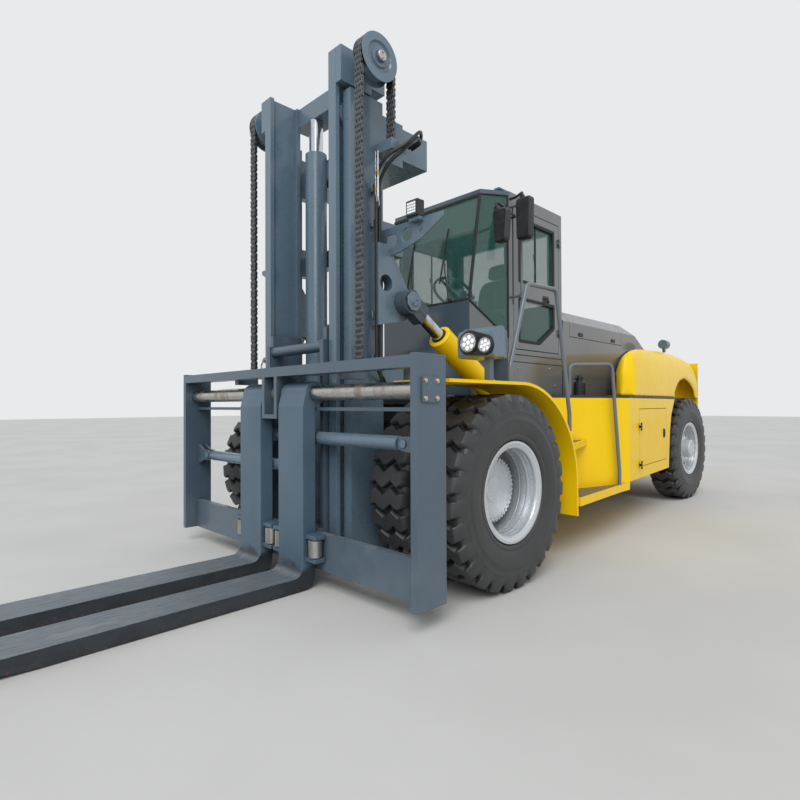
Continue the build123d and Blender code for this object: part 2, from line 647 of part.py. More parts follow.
def outer_mast():
    """Outer mast: channels, ties behind the cylinders, feet, chain anchors and guide rollers."""
    half = upright(OUTER_EDGE_X, OUTER_FLANGE_W, OUTER_FRONT_Y, OUTER_DEPTH, OUTER_WEB_X, OUTER_WEB_T,
                   OUTER_Z0, OUTER_TOP)
    half += block(OUTER_EDGE_X, OUTER_FACE_X, OUTER_REAR_Y - 1, OUTER_TIE_REAR_Y, OUTER_Z0, OUTER_Z0 + 250)
    ear = side_plate(
        [(OUTER_REAR_Y - 1, 330), (PIVOT_Y + 60, 380), (PIVOT_Y + EAR_R, PIVOT_Z - 60),
         (PIVOT_Y + EAR_R, PIVOT_Z + 60), (PIVOT_Y + 20, PIVOT_Z + EAR_R + 40), (OUTER_REAR_Y - 1, 980)],
        OUTER_EDGE_X, OUTER_FACE_X,
    )
    half += ear
    for z0, height in OUTER_TIES + ((TOP_TIE_Z0, TOP_TIE_H),):
        half += block(OUTER_EDGE_X, OUTER_FACE_X, OUTER_REAR_Y - 1, OUTER_TIE_REAR_Y, z0 - 60, z0 + height + 30)
    half += x_rod(INNER_WEB_X + INNER_WEB_T + 5, INNER_FACE_X - 2, INNER_MID_Y, OUTER_TOP - 150, INNER_ROLLER_R)
    half += x_rod(INNER_FACE_X - 3, OUTER_WEB_X + 1, INNER_MID_Y, OUTER_TOP - 150, 40)
    half += block(OUTER_FACE_X - 1, CHAIN_X + CHAIN_W / 2, CHAIN_Y + 2 * SHEAVE_R - 40, CHAIN_Y + 2 * SHEAVE_R + 40,
                  CHAIN_ANCHOR_Z - 80, CHAIN_ANCHOR_Z)
    half -= x_rod(OUTER_EDGE_X - 1, OUTER_FACE_X + 1, PIVOT_Y, PIVOT_Z, PIVOT_PIN_R + RUN_CLEAR)
    mast = half + mirrored(half)
    span = OUTER_EDGE_X + 1
    mast += block(-span, span, LIFT_CYL_Y - 100, OUTER_TIE_REAR_Y, OUTER_Z0, OUTER_Z0 + BOTTOM_BEAM_H)
    for z0, height in OUTER_TIES:
        mast += block(-span, span, OUTER_TIE_Y, OUTER_TIE_REAR_Y, z0, z0 + height)
    mast += block(-OUTER_FACE_X, OUTER_FACE_X, OUTER_TIE_Y, TOP_TIE_REAR_Y, TOP_TIE_Z0, TOP_TIE_Z0 + TOP_TIE_H)
    return mast


def work_lamp():
    """Left square work lamp on the mast's lamp arm, its lens behind a thin frame."""
    z0 = LAMP_SEAT_Z
    return block(895, 1005, -480, -410, z0, z0 + 112) - block(905, 995, -481, -475, z0 + 10, z0 + 102)


def inner_mast():
    """Inner mast: I sections, bottom tie, crosshead, sheave shafts and guide rollers."""
    half = upright(INNER_EDGE_X, INNER_FLANGE_W, INNER_FRONT_Y, INNER_DEPTH, INNER_WEB_X, INNER_WEB_T,
                   INNER_Z0, INNER_TOP)
    half += block(INNER_EDGE_X, INNER_FACE_X, INNER_REAR_Y - 1, INNER_TIE_Y + INNER_TIE_T, INNER_Z0, INNER_Z0 + 150)
    half += block(INNER_EDGE_X, INNER_FACE_X, INNER_REAR_Y - 1, -300, CROSSHEAD_Z0, INNER_TOP)
    half += x_rod(INNER_WEB_X + INNER_WEB_T - 1, OUTER_EDGE_X + 4, OUTER_MID_Y, 480, 40)
    half += x_rod(OUTER_EDGE_X + 3, OUTER_WEB_X - 8, OUTER_MID_Y, 480, OUTER_ROLLER_R)
    half += x_rod(INNER_FACE_X - 1, CHAIN_X + SHEAVE_W / 2 + 20, SHEAVE_Y, SHEAVE_Z, SHEAVE_PIN_R)
    half += block(INNER_WEB_X + 1, INNER_FACE_X + 60, INNER_FRONT_Y + 1, INNER_REAR_Y - 1, OUTER_TOP + 40, INNER_TOP)
    mast = half + mirrored(half)
    span = INNER_EDGE_X + 1
    mast += block(-span, span, INNER_TIE_Y, INNER_TIE_Y + INNER_TIE_T, INNER_Z0, INNER_Z0 + 150)
    mast += block(-span, span, INNER_REAR_Y - 10, -300, CROSSHEAD_Z0, INNER_TOP)
    return mast


def chain_sheave():
    """Left chain sheave, turned with a groove for the chain."""
    half = SHEAVE_W / 2
    chain_half = CHAIN_W / 2 - 8
    deep = SHEAVE_R - CHAIN_T / 2
    bore = SHEAVE_PIN_R + RUN_CLEAR
    profile = [(-half, bore), (-half, SHEAVE_R + 16), (-half + 6, SHEAVE_R + 16), (-half + 6, deep),
               (half - 6, deep), (half - 6, SHEAVE_R + 16), (half, SHEAVE_R + 16), (half, deep - 26),
               (half - 14, deep - 34), (half - 14, bore + 34), (half, bore + 30), (half, bore)]
    sheave = spin(profile, CHAIN_X, SHEAVE_Y, SHEAVE_Z)
    band = [(-chain_half, deep - 1), (-chain_half, SHEAVE_R + CHAIN_T / 2), (chain_half, SHEAVE_R + CHAIN_T / 2),
            (chain_half, deep - 1)]
    wrap = spin(band, CHAIN_X, SHEAVE_Y, SHEAVE_Z)
    reach = SHEAVE_R + CHAIN_T
    wrap -= block(CHAIN_X - half, CHAIN_X + half, SHEAVE_Y - reach, SHEAVE_Y + reach, SHEAVE_Z - reach, SHEAVE_Z)
    return sheave + wrap


def chain_run(y, z0, z1):
    """Straight run of the left leaf chain, waisted between its pins, hanging from the sheave's level."""
    count = int((z1 - z0) / CHAIN_PITCH)
    full, waist = CHAIN_T / 2, CHAIN_T / 2 - CHAIN_WAIST
    front = [(y - full, z1)]
    for k in range(count):
        pin = z1 - k * CHAIN_PITCH
        front += [(y - waist, pin - CHAIN_PITCH / 2), (y - full, pin - CHAIN_PITCH)]
    front.append((y - full, z0))
    rear = [(2 * y - a, z) for a, z in reversed(front)]
    return side_plate(front + rear, CHAIN_X - CHAIN_W / 2 + 8, CHAIN_X + CHAIN_W / 2 - 8)


def lift_cylinder():
    """Left lift cylinder barrel and rod."""
    base = OUTER_Z0 + BOTTOM_BEAM_H
    outer_r, inner_r = LIFT_BARREL_R, LIFT_BARREL_R - LIFT_BARREL_WALL
    barrel = z_rod(LIFT_CYL_X, LIFT_CYL_Y, base, LIFT_BARREL_TOP, outer_r)
    barrel -= z_rod(LIFT_CYL_X, LIFT_CYL_Y, base + 60, LIFT_BARREL_TOP - 70, inner_r)
    barrel -= z_rod(LIFT_CYL_X, LIFT_CYL_Y, base + 60, LIFT_BARREL_TOP + 1, LIFT_ROD_R + RUN_CLEAR)
    clamp = block(LIFT_CYL_X - 70, LIFT_CYL_X + 70, LIFT_CYL_Y + 60, OUTER_TIE_Y, TOP_TIE_Z0 + 40, TOP_TIE_Z0 + 160)
    clamp -= z_rod(LIFT_CYL_X, LIFT_CYL_Y, base, LIFT_BARREL_TOP, outer_r - 1)
    rod = z_rod(LIFT_CYL_X, LIFT_CYL_Y, base + 200, CROSSHEAD_Z0, LIFT_ROD_R)
    return barrel + clamp, rod


def tilt_cylinder():
    """Left tilt cylinder: barrel with tail eye, and rod with front eye."""
    eye = Vector(TILT_X, *TILT_EYE)
    tail = Vector(TILT_X, *TILT_TAIL)
    along = (eye - tail).normalized()
    mouth = eye - along * TILT_GLAND_FROM_EYE
    back = tail + along * 150
    barrel = bar_between(back, mouth, TILT_BARREL_R)
    barrel -= bar_between(back + along * 40, mouth - along * 60, TILT_BARREL_R - TILT_BARREL_WALL)
    barrel -= bar_between(back + along * 40, mouth + along, TILT_ROD_R + RUN_CLEAR)
    barrel += x_rod(TILT_X - 45, TILT_X + 45, tail.Y, tail.Z, 76)
    neck = Plane(origin=(tail + back) * 0.5, z_dir=along, x_dir=(1, 0, 0)) * Box(90, 120, (back - tail).length)
    barrel += neck
    barrel -= x_rod(TILT_X - 60, TILT_X + 60, tail.Y, tail.Z, TILT_PIN_R + RUN_CLEAR)
    rod = bar_between(mouth - along * 430, eye - along * 60, TILT_ROD_R)
    head = x_rod(TILT_X - TILT_EYE_W / 2, TILT_X + TILT_EYE_W / 2, eye.Y, eye.Z, TILT_EYE_R)
    shank = Plane(origin=eye - along * 120, z_dir=along, x_dir=(1, 0, 0)) * Box(TILT_EYE_W, 150, 110)
    head += shank
    head -= x_rod(TILT_X - TILT_EYE_W, TILT_X + TILT_EYE_W, eye.Y, eye.Z, TILT_PIN_R + TILT_EYE_PLAY)
    return barrel, rod + head


def positioner_clevis(z):
    """Pinned bracket of a positioner cylinder on the left end plate."""
    half_t = POSITIONER_TONGUE_T / 2
    bracket = x_rod(END_PLATE_X - 1, END_PLATE_X + 1, POSITIONER_Y, z, POSITIONER_PIN_R)
    for y0 in (POSITIONER_Y - half_t - 18.2, POSITIONER_Y + half_t + 0.2):
        cheek = front_plate(
            [(POSITIONER_PIN_X, z - 44), (POSITIONER_PIN_X, z + 44), (POSITIONER_PIN_X + 80, z + 50),
             (END_PLATE_X + 1, z + 95), (END_PLATE_X + 1, z - 95), (POSITIONER_PIN_X + 80, z - 50)], y0, y0 + 18)
        bracket += cheek + Pos(POSITIONER_PIN_X, y0 + 9, z) * Rot(90, 0, 0) * Cylinder(44, 18)
    bracket += Pos(POSITIONER_PIN_X, POSITIONER_Y, z) * Rot(90, 0, 0) * Cylinder(POSITIONER_PIN_R, 2 * half_t + 46)
    bracket += block(POSITIONER_PIN_X + 90, END_PLATE_X + 1, POSITIONER_Y - half_t - 1, POSITIONER_Y + half_t + 1, z - 30, z + 30)
    return bracket


def carriage():
    """Fork carriage frame with its guide plates between the uprights."""
    front = CARRIAGE_FRONT_Y
    beam_rear = front + BEAM_D
    end = block(END_PLATE_X, END_PLATE_X + END_PLATE_T, front, front + END_PLATE_D, CARRIAGE_Z0, CARRIAGE_TOP)
    guide = side_plate(
        [(GUIDE_FRONT_Y, BEAM_Z0), (-835, 1780), (-800, 1780), (-800, GUIDE_TOP), (GUIDE_REAR_Y, GUIDE_TOP),
         (GUIDE_REAR_Y, GUIDE_Z0), (LOWER_PLATE_Y + LOWER_PLATE_T - 1, GUIDE_Z0),
         (LOWER_PLATE_Y + LOWER_PLATE_T - 1, LOWER_PLATE_TOP), (GUIDE_FRONT_Y, LOWER_PLATE_TOP)],
        GUIDE_X, GUIDE_X + GUIDE_T,
    )
    guide += block(GUIDE_X, GUIDE_X + GUIDE_T, beam_rear - 1, GUIDE_FRONT_Y + 20, BEAM_Z0, BEAM_Z0 + BEAM_H)
    centre = block(CENTRE_PLATE_X - CENTRE_PLATE_T / 2, CENTRE_PLATE_X + CENTRE_PLATE_T / 2, front, -870,
                   THIN_BAR_Z - 60, BEAM_Z0 + 1)
    anchor = block(CHAIN_X - 30, CHAIN_X + 30, beam_rear - 1, CHAIN_Y + CHAIN_T / 2 + 4,
                   SHAFT_Z + FORK_BOSS_R + FORK_BOSS_GAP, CHAIN_LOW_Z)
    cover = block(END_PLATE_X + END_PLATE_T - 1, END_PLATE_X + END_PLATE_T + 12, SHAFT_Y - 72, SHAFT_Y + 72,
                  SHAFT_Z - 72, SHAFT_Z + 72)
    half = end + guide + centre + anchor + cover
    for roller in carriage_rollers():
        half += roller
    frame = half + mirrored(half)
    frame += positioner_clevis(POSITIONER_Z) + mirrored(positioner_clevis(POSITIONER_LOW_Z))
    span = END_PLATE_X + 1
    frame += block(-span, span, front, beam_rear, BEAM_Z0, BEAM_Z0 + BEAM_H)
    frame += block(-span, span, LOWER_PLATE_Y, LOWER_PLATE_Y + LOWER_PLATE_T, CARRIAGE_Z0, LOWER_PLATE_TOP)
    frame += block(-span, span, -930, -880, THIN_BAR_Z, THIN_BAR_Z + THIN_BAR_H)
    frame += block(-CENTRE_PLATE_X, CENTRE_PLATE_X, front, front + 40, THIN_BAR_Z - 60, THIN_BAR_Z - 30)
    frame += x_rod(-GUIDE_X - 1, GUIDE_X + 1, -780, 1735, 42)
    shaft_hole = SHAFT_R + RUN_CLEAR
    frame -= x_rod(-END_PLATE_X - 10, END_PLATE_X + 10, SHAFT_Y, SHAFT_Z, shaft_hole)
    return frame


def carriage_rollers():
    """Left pair of carriage rollers in the inner mast's channel."""
    rollers = []
    for z in (440.0, 1720.0):
        disc = x_rod(INNER_WEB_X - 5 - ROLLER_W, INNER_WEB_X - 5, INNER_MID_Y, z, INNER_ROLLER_R)
        rollers.append(disc + x_rod(GUIDE_X + GUIDE_T, INNER_WEB_X - 5 - ROLLER_W + 1, INNER_MID_Y, z, 40))
    return rollers


def fork(side_x, lug_z):
    """Left fork: tapered blade, shank, shaft boss, guide rollers and its positioner rod."""
    z0 = FORK_FLOOR_GAP
    top = z0 + FORK_BLADE_T
    back = FORK_FRONT_Y + FORK_T
    tip = FORK_FRONT_Y - FORK_LENGTH
    shape = side_plate(
        [(FORK_FRONT_Y, top), (tip, top), (tip, top - FORK_TIP_T), (tip + FORK_TAPER, z0), (back, z0),
         (back, 1300), (SHAFT_Y + 75, SHAFT_Z - 38), (SHAFT_Y - 75, SHAFT_Z + 38), (FORK_FRONT_Y, 1285)],
        side_x, side_x + FORK_W,
        fillets=(((FORK_FRONT_Y, top), 75), ((back, z0), 110)),
    )
    shape += x_rod(side_x, side_x + FORK_W, SHAFT_Y, SHAFT_Z, FORK_BOSS_R)
    nose = plan_plate(
        [(side_x, back + 200), (side_x, tip + 230), (side_x + 70, tip + 20), (side_x + 110, tip),
         (side_x + FORK_W - 110, tip), (side_x + FORK_W - 70, tip + 20), (side_x + FORK_W, tip + 230),
         (side_x + FORK_W, back + 200)], -10, CARRIAGE_TOP)
    shape = shape & nose
    shape += block(side_x + 24, side_x + 64, back - 1, POSITIONER_Y + 36, lug_z - 46, lug_z + 46)
    shape += x_rod(side_x + 25 - POSITIONER_ROD_LENGTH, side_x + 25, POSITIONER_Y, lug_z, POSITIONER_ROD_R)
    shape += fork_rollers(side_x)
    shape -= x_rod(side_x - 1, side_x + FORK_W + 1, SHAFT_Y, SHAFT_Z, SHAFT_R + RUN_CLEAR)
    return shape


def fork_rollers(side_x):
    """Vertical guide rollers and their brackets on both sides of a fork's shank."""
    roller_y = LOWER_PLATE_Y - FORK_ROLLER_R - SEAT_GAP
    deep = 2 * FORK_ROLLER_R + 12
    pieces = None
    for edge, way in ((side_x + FORK_W, 1), (side_x, -1)):
        x = edge + way * (FORK_ROLLER_R + 8)
        lo, hi = sorted((edge - way, edge + way * deep))
        pair = block(lo, hi, roller_y - 40, LOWER_PLATE_Y - FIT_GAP, ROLLER_Z0 - 28, ROLLER_Z0)
        pair += block(lo, hi, roller_y - 40, LOWER_PLATE_Y - FIT_GAP, ROLLER_Z1, ROLLER_Z1 + 28)
        pair += z_rod(x, roller_y, ROLLER_Z0 - 1, ROLLER_Z1 + 1, 20)
        pair += z_rod(x, roller_y, ROLLER_Z0 + 5, ROLLER_Z1 - 5, FORK_ROLLER_R)
        pieces = pair if pieces is None else pieces + pair
    return pieces


def positioner_barrel(z):
    """Positioner cylinder barrel pinned to the carriage's left end; it drives the right fork."""
    barrel = x_rod(POSITIONER_MOUTH_X, POSITIONER_TAIL_X, POSITIONER_Y, z, POSITIONER_R)
    barrel -= x_rod(POSITIONER_MOUTH_X + 40, POSITIONER_TAIL_X - 30, POSITIONER_Y, z, POSITIONER_R - POSITIONER_WALL)
    barrel -= x_rod(POSITIONER_MOUTH_X - 1, POSITIONER_TAIL_X - 30, POSITIONER_Y, z, POSITIONER_ROD_R + RUN_CLEAR)
    half_t = POSITIONER_TONGUE_T / 2
    barrel += block(POSITIONER_TAIL_X - 1, POSITIONER_PIN_X + 30, POSITIONER_Y - half_t, POSITIONER_Y + half_t,
                    z - 36, z + 36)
    barrel -= Pos(POSITIONER_PIN_X, POSITIONER_Y, z) * Rot(90, 0, 0) * Cylinder(POSITIONER_PIN_R + RUN_CLEAR, 200)
    return barrel


def chassis_frame():
    """Frame: side rails, cross plates, rear spine, decks and cylinder brackets."""
    rail = side_plate(
        [(-80, RAIL_ARCH_Z), (-80, RAIL_TOP - 120), (120, RAIL_TOP), (RAIL_REAR_Y, RAIL_TOP), (RAIL_REAR_Y, SPINE_Z0),
         (RAIL_REAR_Y - 400, RAIL_Z0), (520, RAIL_Z0), (330, RAIL_ARCH_Z), (230, RAIL_ARCH_Z)],
        RAIL_X, RAIL_X + RAIL_T,
    )
    deck = plan_plate(
        [(0, 1050), BOX_FRONT, BOX_FOLD, (BOX_REAR_X, BOX_REAR_TOP_Y), (0, BOX_REAR_TOP_Y)],
        DECK_TOP - DECK_T, DECK_TOP)
    tail_y, tail_z = TILT_TAIL
    bracket = block(RAIL_X + RAIL_T - 1, TILT_X + 100, BOX_FRONT[1] - 16, BOX_FRONT[1], tail_z - 150, DECK_TOP)
    for x0 in (TILT_X - 45 - FIT_GAP - 26, TILT_X + 45 + FIT_GAP):
        bracket += side_plate(
            [(tail_y - 72, tail_z - 60), (tail_y - 72, tail_z + 50), (tail_y + 20, tail_z + 62),
             (BOX_FRONT[1] - 15, tail_z + 62), (BOX_FRONT[1] - 15, tail_z - 140), (tail_y, tail_z - 110)],
            x0, x0 + 26)
    bracket += x_rod(TILT_X - 80, TILT_X + 80, tail_y, tail_z, TILT_PIN_R)
    half = rail + deck + bracket
    frame = half + mirrored(half)
    frame += block(-RAIL_X - 1, RAIL_X + 1, 330, 370, 900, RAIL_TOP)
    frame += block(-RAIL_X - 1, RAIL_X + 1, -80, -40, 960, RAIL_TOP - 130)
    frame += block(-RAIL_X - 1, RAIL_X + 1, 560, RAIL_REAR_Y - 440, RAIL_Z0, RAIL_Z0 + 25)
    frame += block(-RAIL_X - 1, RAIL_X + 1, RAIL_REAR_Y - 40, RAIL_REAR_Y, SPINE_Z0, RAIL_TOP)
    frame += block(-SPINE_X, SPINE_X, RAIL_REAR_Y - 20, WEIGHT_FRONT_Y, AXLE_Z + STEER_BEAM_H / 2 + 30, UPPER_DECK_Z)
    frame += block(-120, 120, WHEELBASE - 160, WHEELBASE + 160, AXLE_Z + STEER_BEAM_H / 2, AXLE_Z + STEER_BEAM_H / 2 + 31)
    frame += block(-REAR_FENDER_INNER_X, REAR_FENDER_INNER_X, RAIL_REAR_Y - 20, WEIGHT_FRONT_Y, UPPER_DECK_Z - 1,
                   UPPER_DECK_Z + 35)
    frame += block(-RAIL_X - 1, RAIL_X + 1, 280, 1060, RAIL_TOP - 1, DECK_TOP)
    return frame


def box_lines(offset):
    """Outer plan line of the left side box, moved inwards by an offset."""
    fx, fy = BOX_FRONT
    return [(fx - offset, fy + offset), (BOX_FOLD[0] - offset, BOX_FOLD[1]), (BOX_REAR_X - offset, BOX_REAR_TOP_Y)]


def rear_cut(offset):
    """Concave rear boundary of a side box, following the wheel arch."""
    foot = BOX_REAR_FOOT_Y - offset
    edge = [(foot, BOX_Z0 - 100), (foot, BOX_Z0)]
    edge += [(BOX_REAR_TOP_Y - back - offset, z) for z, back in BOX_REAR_EDGE]
    far = BOX_REAR_TOP_Y + 500
    return side_plate(edge + [(BOX_REAR_TOP_Y - offset, DECK_TOP), (far, DECK_TOP), (far, BOX_Z0 - 100)], 0, 1600)


def box_door_frame(grow, depth0, depth1):
    """Solid along the box's rear panel, for the door and its opening."""
    s0 = box_reach(BOX_DOOR_Y0) - grow
    s1 = box_reach(BOX_DOOR_Y1) + grow
    corners = [box_point(s0, depth0), box_point(s1, depth0), box_point(s1, depth1), box_point(s0, depth1)]
    return plan_plate(corners, BOX_DOOR_Z0 - grow, BOX_DOOR_Z1 + grow)


def side_box():
    """Left side box: hollow cabinet with two wedge steps at its front."""
    top = DECK_TOP - DECK_T
    outer = plan_plate([(BOX_INNER_X, BOX_FRONT[1])] + box_lines(0) + [(BOX_INNER_X, BOX_REAR_TOP_Y)], BOX_Z0, top)
    outer -= rear_cut(0)
    inner = plan_plate([(BOX_INNER_X + BOX_WALL, BOX_FRONT[1] + BOX_WALL)] + box_lines(BOX_WALL)
                       + [(BOX_INNER_X + BOX_WALL, BOX_REAR_TOP_Y)], BOX_Z0 + BOX_WALL, top - BOX_WALL)
    inner -= rear_cut(BOX_WALL * 1.2)
    box = outer - inner
    box -= box_door_frame(DOOR_SLOT, -30, BOX_WALL + 30)
    fx, fy = BOX_FRONT
    for z, height, share in STEP_LEVELS:
        ox, oy = STEP_OUTER_FRONT
        rx, ry = STEP_OUTER_REAR
        mid_x = fx + (BOX_FOLD[0] - fx) * share
        mid_y = fy + (BOX_FOLD[1] - fy) * share
        edge_x = fx + (ox - fx) * share
        if share == 1.0:
            outline = [(fx, fy), (ox, oy), (rx, ry), BOX_FOLD]
        else:
            outline = [(fx, fy), (edge_x + 150, oy), (mid_x, mid_y)]
        box += plan_plate(outline, z, z + height) - plan_plate(
            [(fx - 300, fy + 5), (fx - 1, fy + 5), (BOX_FOLD[0] - 1, BOX_FOLD[1] + 5), (fx - 300, BOX_FOLD[1] + 5)],
            z - 1, z + height + 1)
    box += plan_plate([(fx - 20, fy), (fx, fy), BOX_FOLD, (BOX_FOLD[0] - 22, BOX_FOLD[1])], STEP_LEVELS[0][0], BOX_Z0 + 1)
    for fixed, _ in box_hinges():
        box += fixed
    return box


def box_door():
    """Left compartment door in the side box's rear panel."""
    door = box_door_frame(0, 0, BOX_WALL)
    for _, moving in box_hinges():
        door += moving
    return door


def front_fender():
    """Left front fender: flat top, rolled rear and straight tail."""
    z_arc = FENDER_TOP - FENDER_ARC_R
    y_tail = FENDER_ARC_Y + FENDER_ARC_R
    inner_r = FENDER_ARC_R - FENDER_T
    diag = math.sqrt(0.5)
    outline = [
        Polyline((FENDER_FRONT_Y, FENDER_TOP), (FENDER_ARC_Y, FENDER_TOP)),
        ThreePointArc((FENDER_ARC_Y, FENDER_TOP),
                      (FENDER_ARC_Y + FENDER_ARC_R * diag, z_arc + FENDER_ARC_R * diag), (y_tail, z_arc)),
        Polyline((y_tail, z_arc), (y_tail, FENDER_FOOT_Z), (y_tail - FENDER_T, FENDER_FOOT_Z),
                 (y_tail - FENDER_T, z_arc)),
        ThreePointArc((y_tail - FENDER_T, z_arc), (FENDER_ARC_Y + inner_r * diag, z_arc + inner_r * diag),
                      (FENDER_ARC_Y, FENDER_TOP - FENDER_T)),
        Polyline((FENDER_ARC_Y, FENDER_TOP - FENDER_T), (FENDER_FRONT_Y, FENDER_TOP - FENDER_T),
                 (FENDER_FRONT_Y, FENDER_TOP)),
    ]
    face = make_face(outline)
    shell = Pos(FENDER_INNER_X, 0, 0) * extrude(Plane.YZ * face, amount=FENDER_OUTER_X - FENDER_INNER_X)
    web_y = y_tail - FENDER_WEB_IN
    shell += block(RAIL_X + RAIL_T, FENDER_INNER_X + 12, web_y, web_y + FENDER_T, RAIL_Z0 + 400, z_arc + 400)
    shell += block(FENDER_INNER_X, FENDER_INNER_X + 14, y_tail - 1, BOX_FRONT[1], BOX_Z0 + 40, z_arc + 300)
    shell += block(RAIL_FOOT_X - 30, RAIL_FOOT_X + 30, y_tail - 130, RAIL_FOOT_Y + 30, RAIL_FOOT_Z - 30, RAIL_FOOT_Z)
    return shell


def cab_shell():
    """Cab: floor, tub, pillars, rear wall and roof, hollow inside."""
    plan = [(-CAB_X, CAB_REAR_Y), (CAB_X, CAB_REAR_Y), (CAB_X, CAB_PILLAR_Y), (CAB_SCREEN_X, CAB_SILL_Y),
            (-CAB_SCREEN_X, CAB_SILL_Y), (-CAB_X, CAB_PILLAR_Y)]
    t = CAB_WALL
    inner_plan = [(-CAB_X + t, CAB_REAR_Y - t), (CAB_X - t, CAB_REAR_Y - t), (CAB_X - t, CAB_PILLAR_Y + 14),
                  (CAB_SCREEN_X - 20, CAB_SILL_Y + t), (-CAB_SCREEN_X + 20, CAB_SILL_Y + t),
                  (-CAB_X + t, CAB_PILLAR_Y + 14)]
    tub = plan_plate(plan, CAB_FLOOR_Z, CAB_SILL_Z) - plan_plate(inner_plan, CAB_FLOOR_Z + 40, CAB_SILL_Z + 1)
    corner_cut = side_plate(
        [(CAB_SILL_Y, CAB_SILL_Z), (CAB_PILLAR_Y, CORNER_SILL_Z), (CAB_PILLAR_Y, CAB_SILL_Z + 5),
         (CAB_SILL_Y, CAB_SILL_Z + 5)], CAB_SCREEN_X + 1, CAB_X + 1)
    tub -= corner_cut
    tub -= mirrored(corner_cut)
    roof_plan = [(-CAB_X, CAB_REAR_Y), (CAB_X, CAB_REAR_Y), (CAB_X, CAB_PILLAR_Y), (CAB_SCREEN_X, CAB_HEAD_Y),
                 (-CAB_SCREEN_X, CAB_HEAD_Y), (-CAB_X, CAB_PILLAR_Y)]
    roof = plan_plate(roof_plan, CAB_GLASS_Z, CAB_ROOF_Z)
    side = block(CAB_X - t, CAB_X, CAB_PILLAR_Y - 20, CAB_PILLAR_Y + 45, CAB_FLOOR_Z, CAB_GLASS_Z + 1)
    side += block(CAB_X - t, CAB_X, CAB_REAR_Y - 65, CAB_REAR_Y, CAB_FLOOR_Z, CAB_GLASS_Z + 1)
    side += block(CAB_X - t, CAB_X, CAB_PILLAR_Y, CAB_REAR_Y, CAB_HEAD_Z - 21, CAB_GLASS_Z + 1)
    rail_z = CAB_ROOF_Z + ROOF_RAIL_LIFT
    side += block(ROOF_RAIL_X - ROOF_RAIL_W / 2, ROOF_RAIL_X + ROOF_RAIL_W / 2, CAB_PILLAR_Y - 70, CAB_REAR_Y - 120,
                  rail_z, rail_z + ROOF_RAIL_T)
    for y in (CAB_PILLAR_Y, (CAB_PILLAR_Y + CAB_REAR_Y) / 2 - 60, CAB_REAR_Y - 200):
        side += block(ROOF_RAIL_X - 14, ROOF_RAIL_X + 14, y, y + 40, CAB_ROOF_Z - 1, rail_z + 1)
    shell = tub + roof + side + mirrored(side)
    rear = block(-CAB_X, CAB_X, CAB_REAR_Y - t, CAB_REAR_Y, CAB_SILL_Z - 1, CAB_GLASS_Z + 1)
    rear -= block(-CAB_X + 120, CAB_X - 120, CAB_REAR_Y - t - 1, CAB_REAR_Y + 1, CAB_SILL_Z + 120, CAB_HEAD_Z - 80)
    shell += rear
    doorway = block(CAB_X - t - 1, CAB_X + 1, DOOR_Y0 - DOOR_SLOT, DOOR_Y1 + DOOR_SLOT, CAB_FLOOR_Z + 40, CAB_HEAD_Z - 20)
    shell -= doorway
    shell -= mirrored(doorway)
    for fixed, _ in cab_hinges():
        shell += fixed
        shell += mirrored(fixed)
    return shell


def cab_door():
    """Left cab door: frame with an upper and a lower window."""
    x0 = CAB_X - DOOR_T
    door = block(x0, CAB_X, DOOR_Y0, DOOR_Y1, CAB_FLOOR_Z + 48, CAB_HEAD_Z - 28)
    door -= block(x0 - 1, CAB_X + 1, DOOR_Y0 + 90, DOOR_Y1 - 90, CAB_HEAD_Z - DOOR_SASH_DROP,
                  CAB_HEAD_Z - 110)
    low = side_plate([(DOOR_Y0 + 90, 1900), (1610, 1900), (DOOR_Y1 - 90, 2080), (DOOR_Y1 - 90, 2320),
                      (DOOR_Y0 + 90, 2320)], x0 - 1, CAB_X + 1)
    door -= low
    for _, moving in cab_hinges():
        door += moving
    return door


def pane_section(z, y_front):
    """Thin plan section of the left corner pane at a height."""
    x0, x1 = CAB_SCREEN_X + 1, CAB_X - FIT_GAP
    y1 = CAB_PILLAR_Y - 20.5
    return Pos(0, 0, z) * make_face(Polyline((x0, y_front), (x1, y1), (x1 - GLASS_T, y1), (x0, y_front + 30), close=True))


def cab_glass():
    """Fixed panes: windscreen, corner panes and rear window."""
    t = GLASS_T
    head = CAB_GLASS_Z - 0.5
    rise = (CAB_HEAD_Y - CAB_SILL_Y) / (CAB_GLASS_Z - CAB_SILL_Z)
    y_head = CAB_SILL_Y + rise * (head - CAB_SILL_Z)
    sill = CAB_SILL_Z + 0.5
    screen = side_plate(
        [(CAB_SILL_Y + 4, sill), (CAB_SILL_Y + 4 + t, sill), (y_head + 4 + t, head), (y_head + 4, head)],
        -CAB_SCREEN_X, CAB_SCREEN_X)
    rear = block(-CAB_X + 120.5, CAB_X - 120.5, CAB_REAR_Y - 30, CAB_REAR_Y - 30 + t, CAB_SILL_Z + 120.5,
                 CAB_HEAD_Z - 80.5)
    corner = loft([pane_section(sill, CAB_SILL_Y + 6), pane_section(head, y_head + 6)], ruled=True)
    low = extrude(pane_section(CORNER_SILL_Z, CAB_SILL_Y + 6), amount=sill - CORNER_SILL_Z, dir=(0, 0, 1))
    low -= side_plate([(CAB_SILL_Y - 50, CORNER_SILL_Z - 50), (CAB_SILL_Y - 50, CAB_SILL_Z + 40),
                       (CAB_SILL_Y, CAB_SILL_Z + 1), (CAB_PILLAR_Y, CORNER_SILL_Z + 1), (CAB_PILLAR_Y, CORNER_SILL_Z - 50)],
                      CAB_SCREEN_X - 60, CAB_X + 1)
    corner += low
    return Compound(children=[screen, rear, corner, mirrored(corner)])


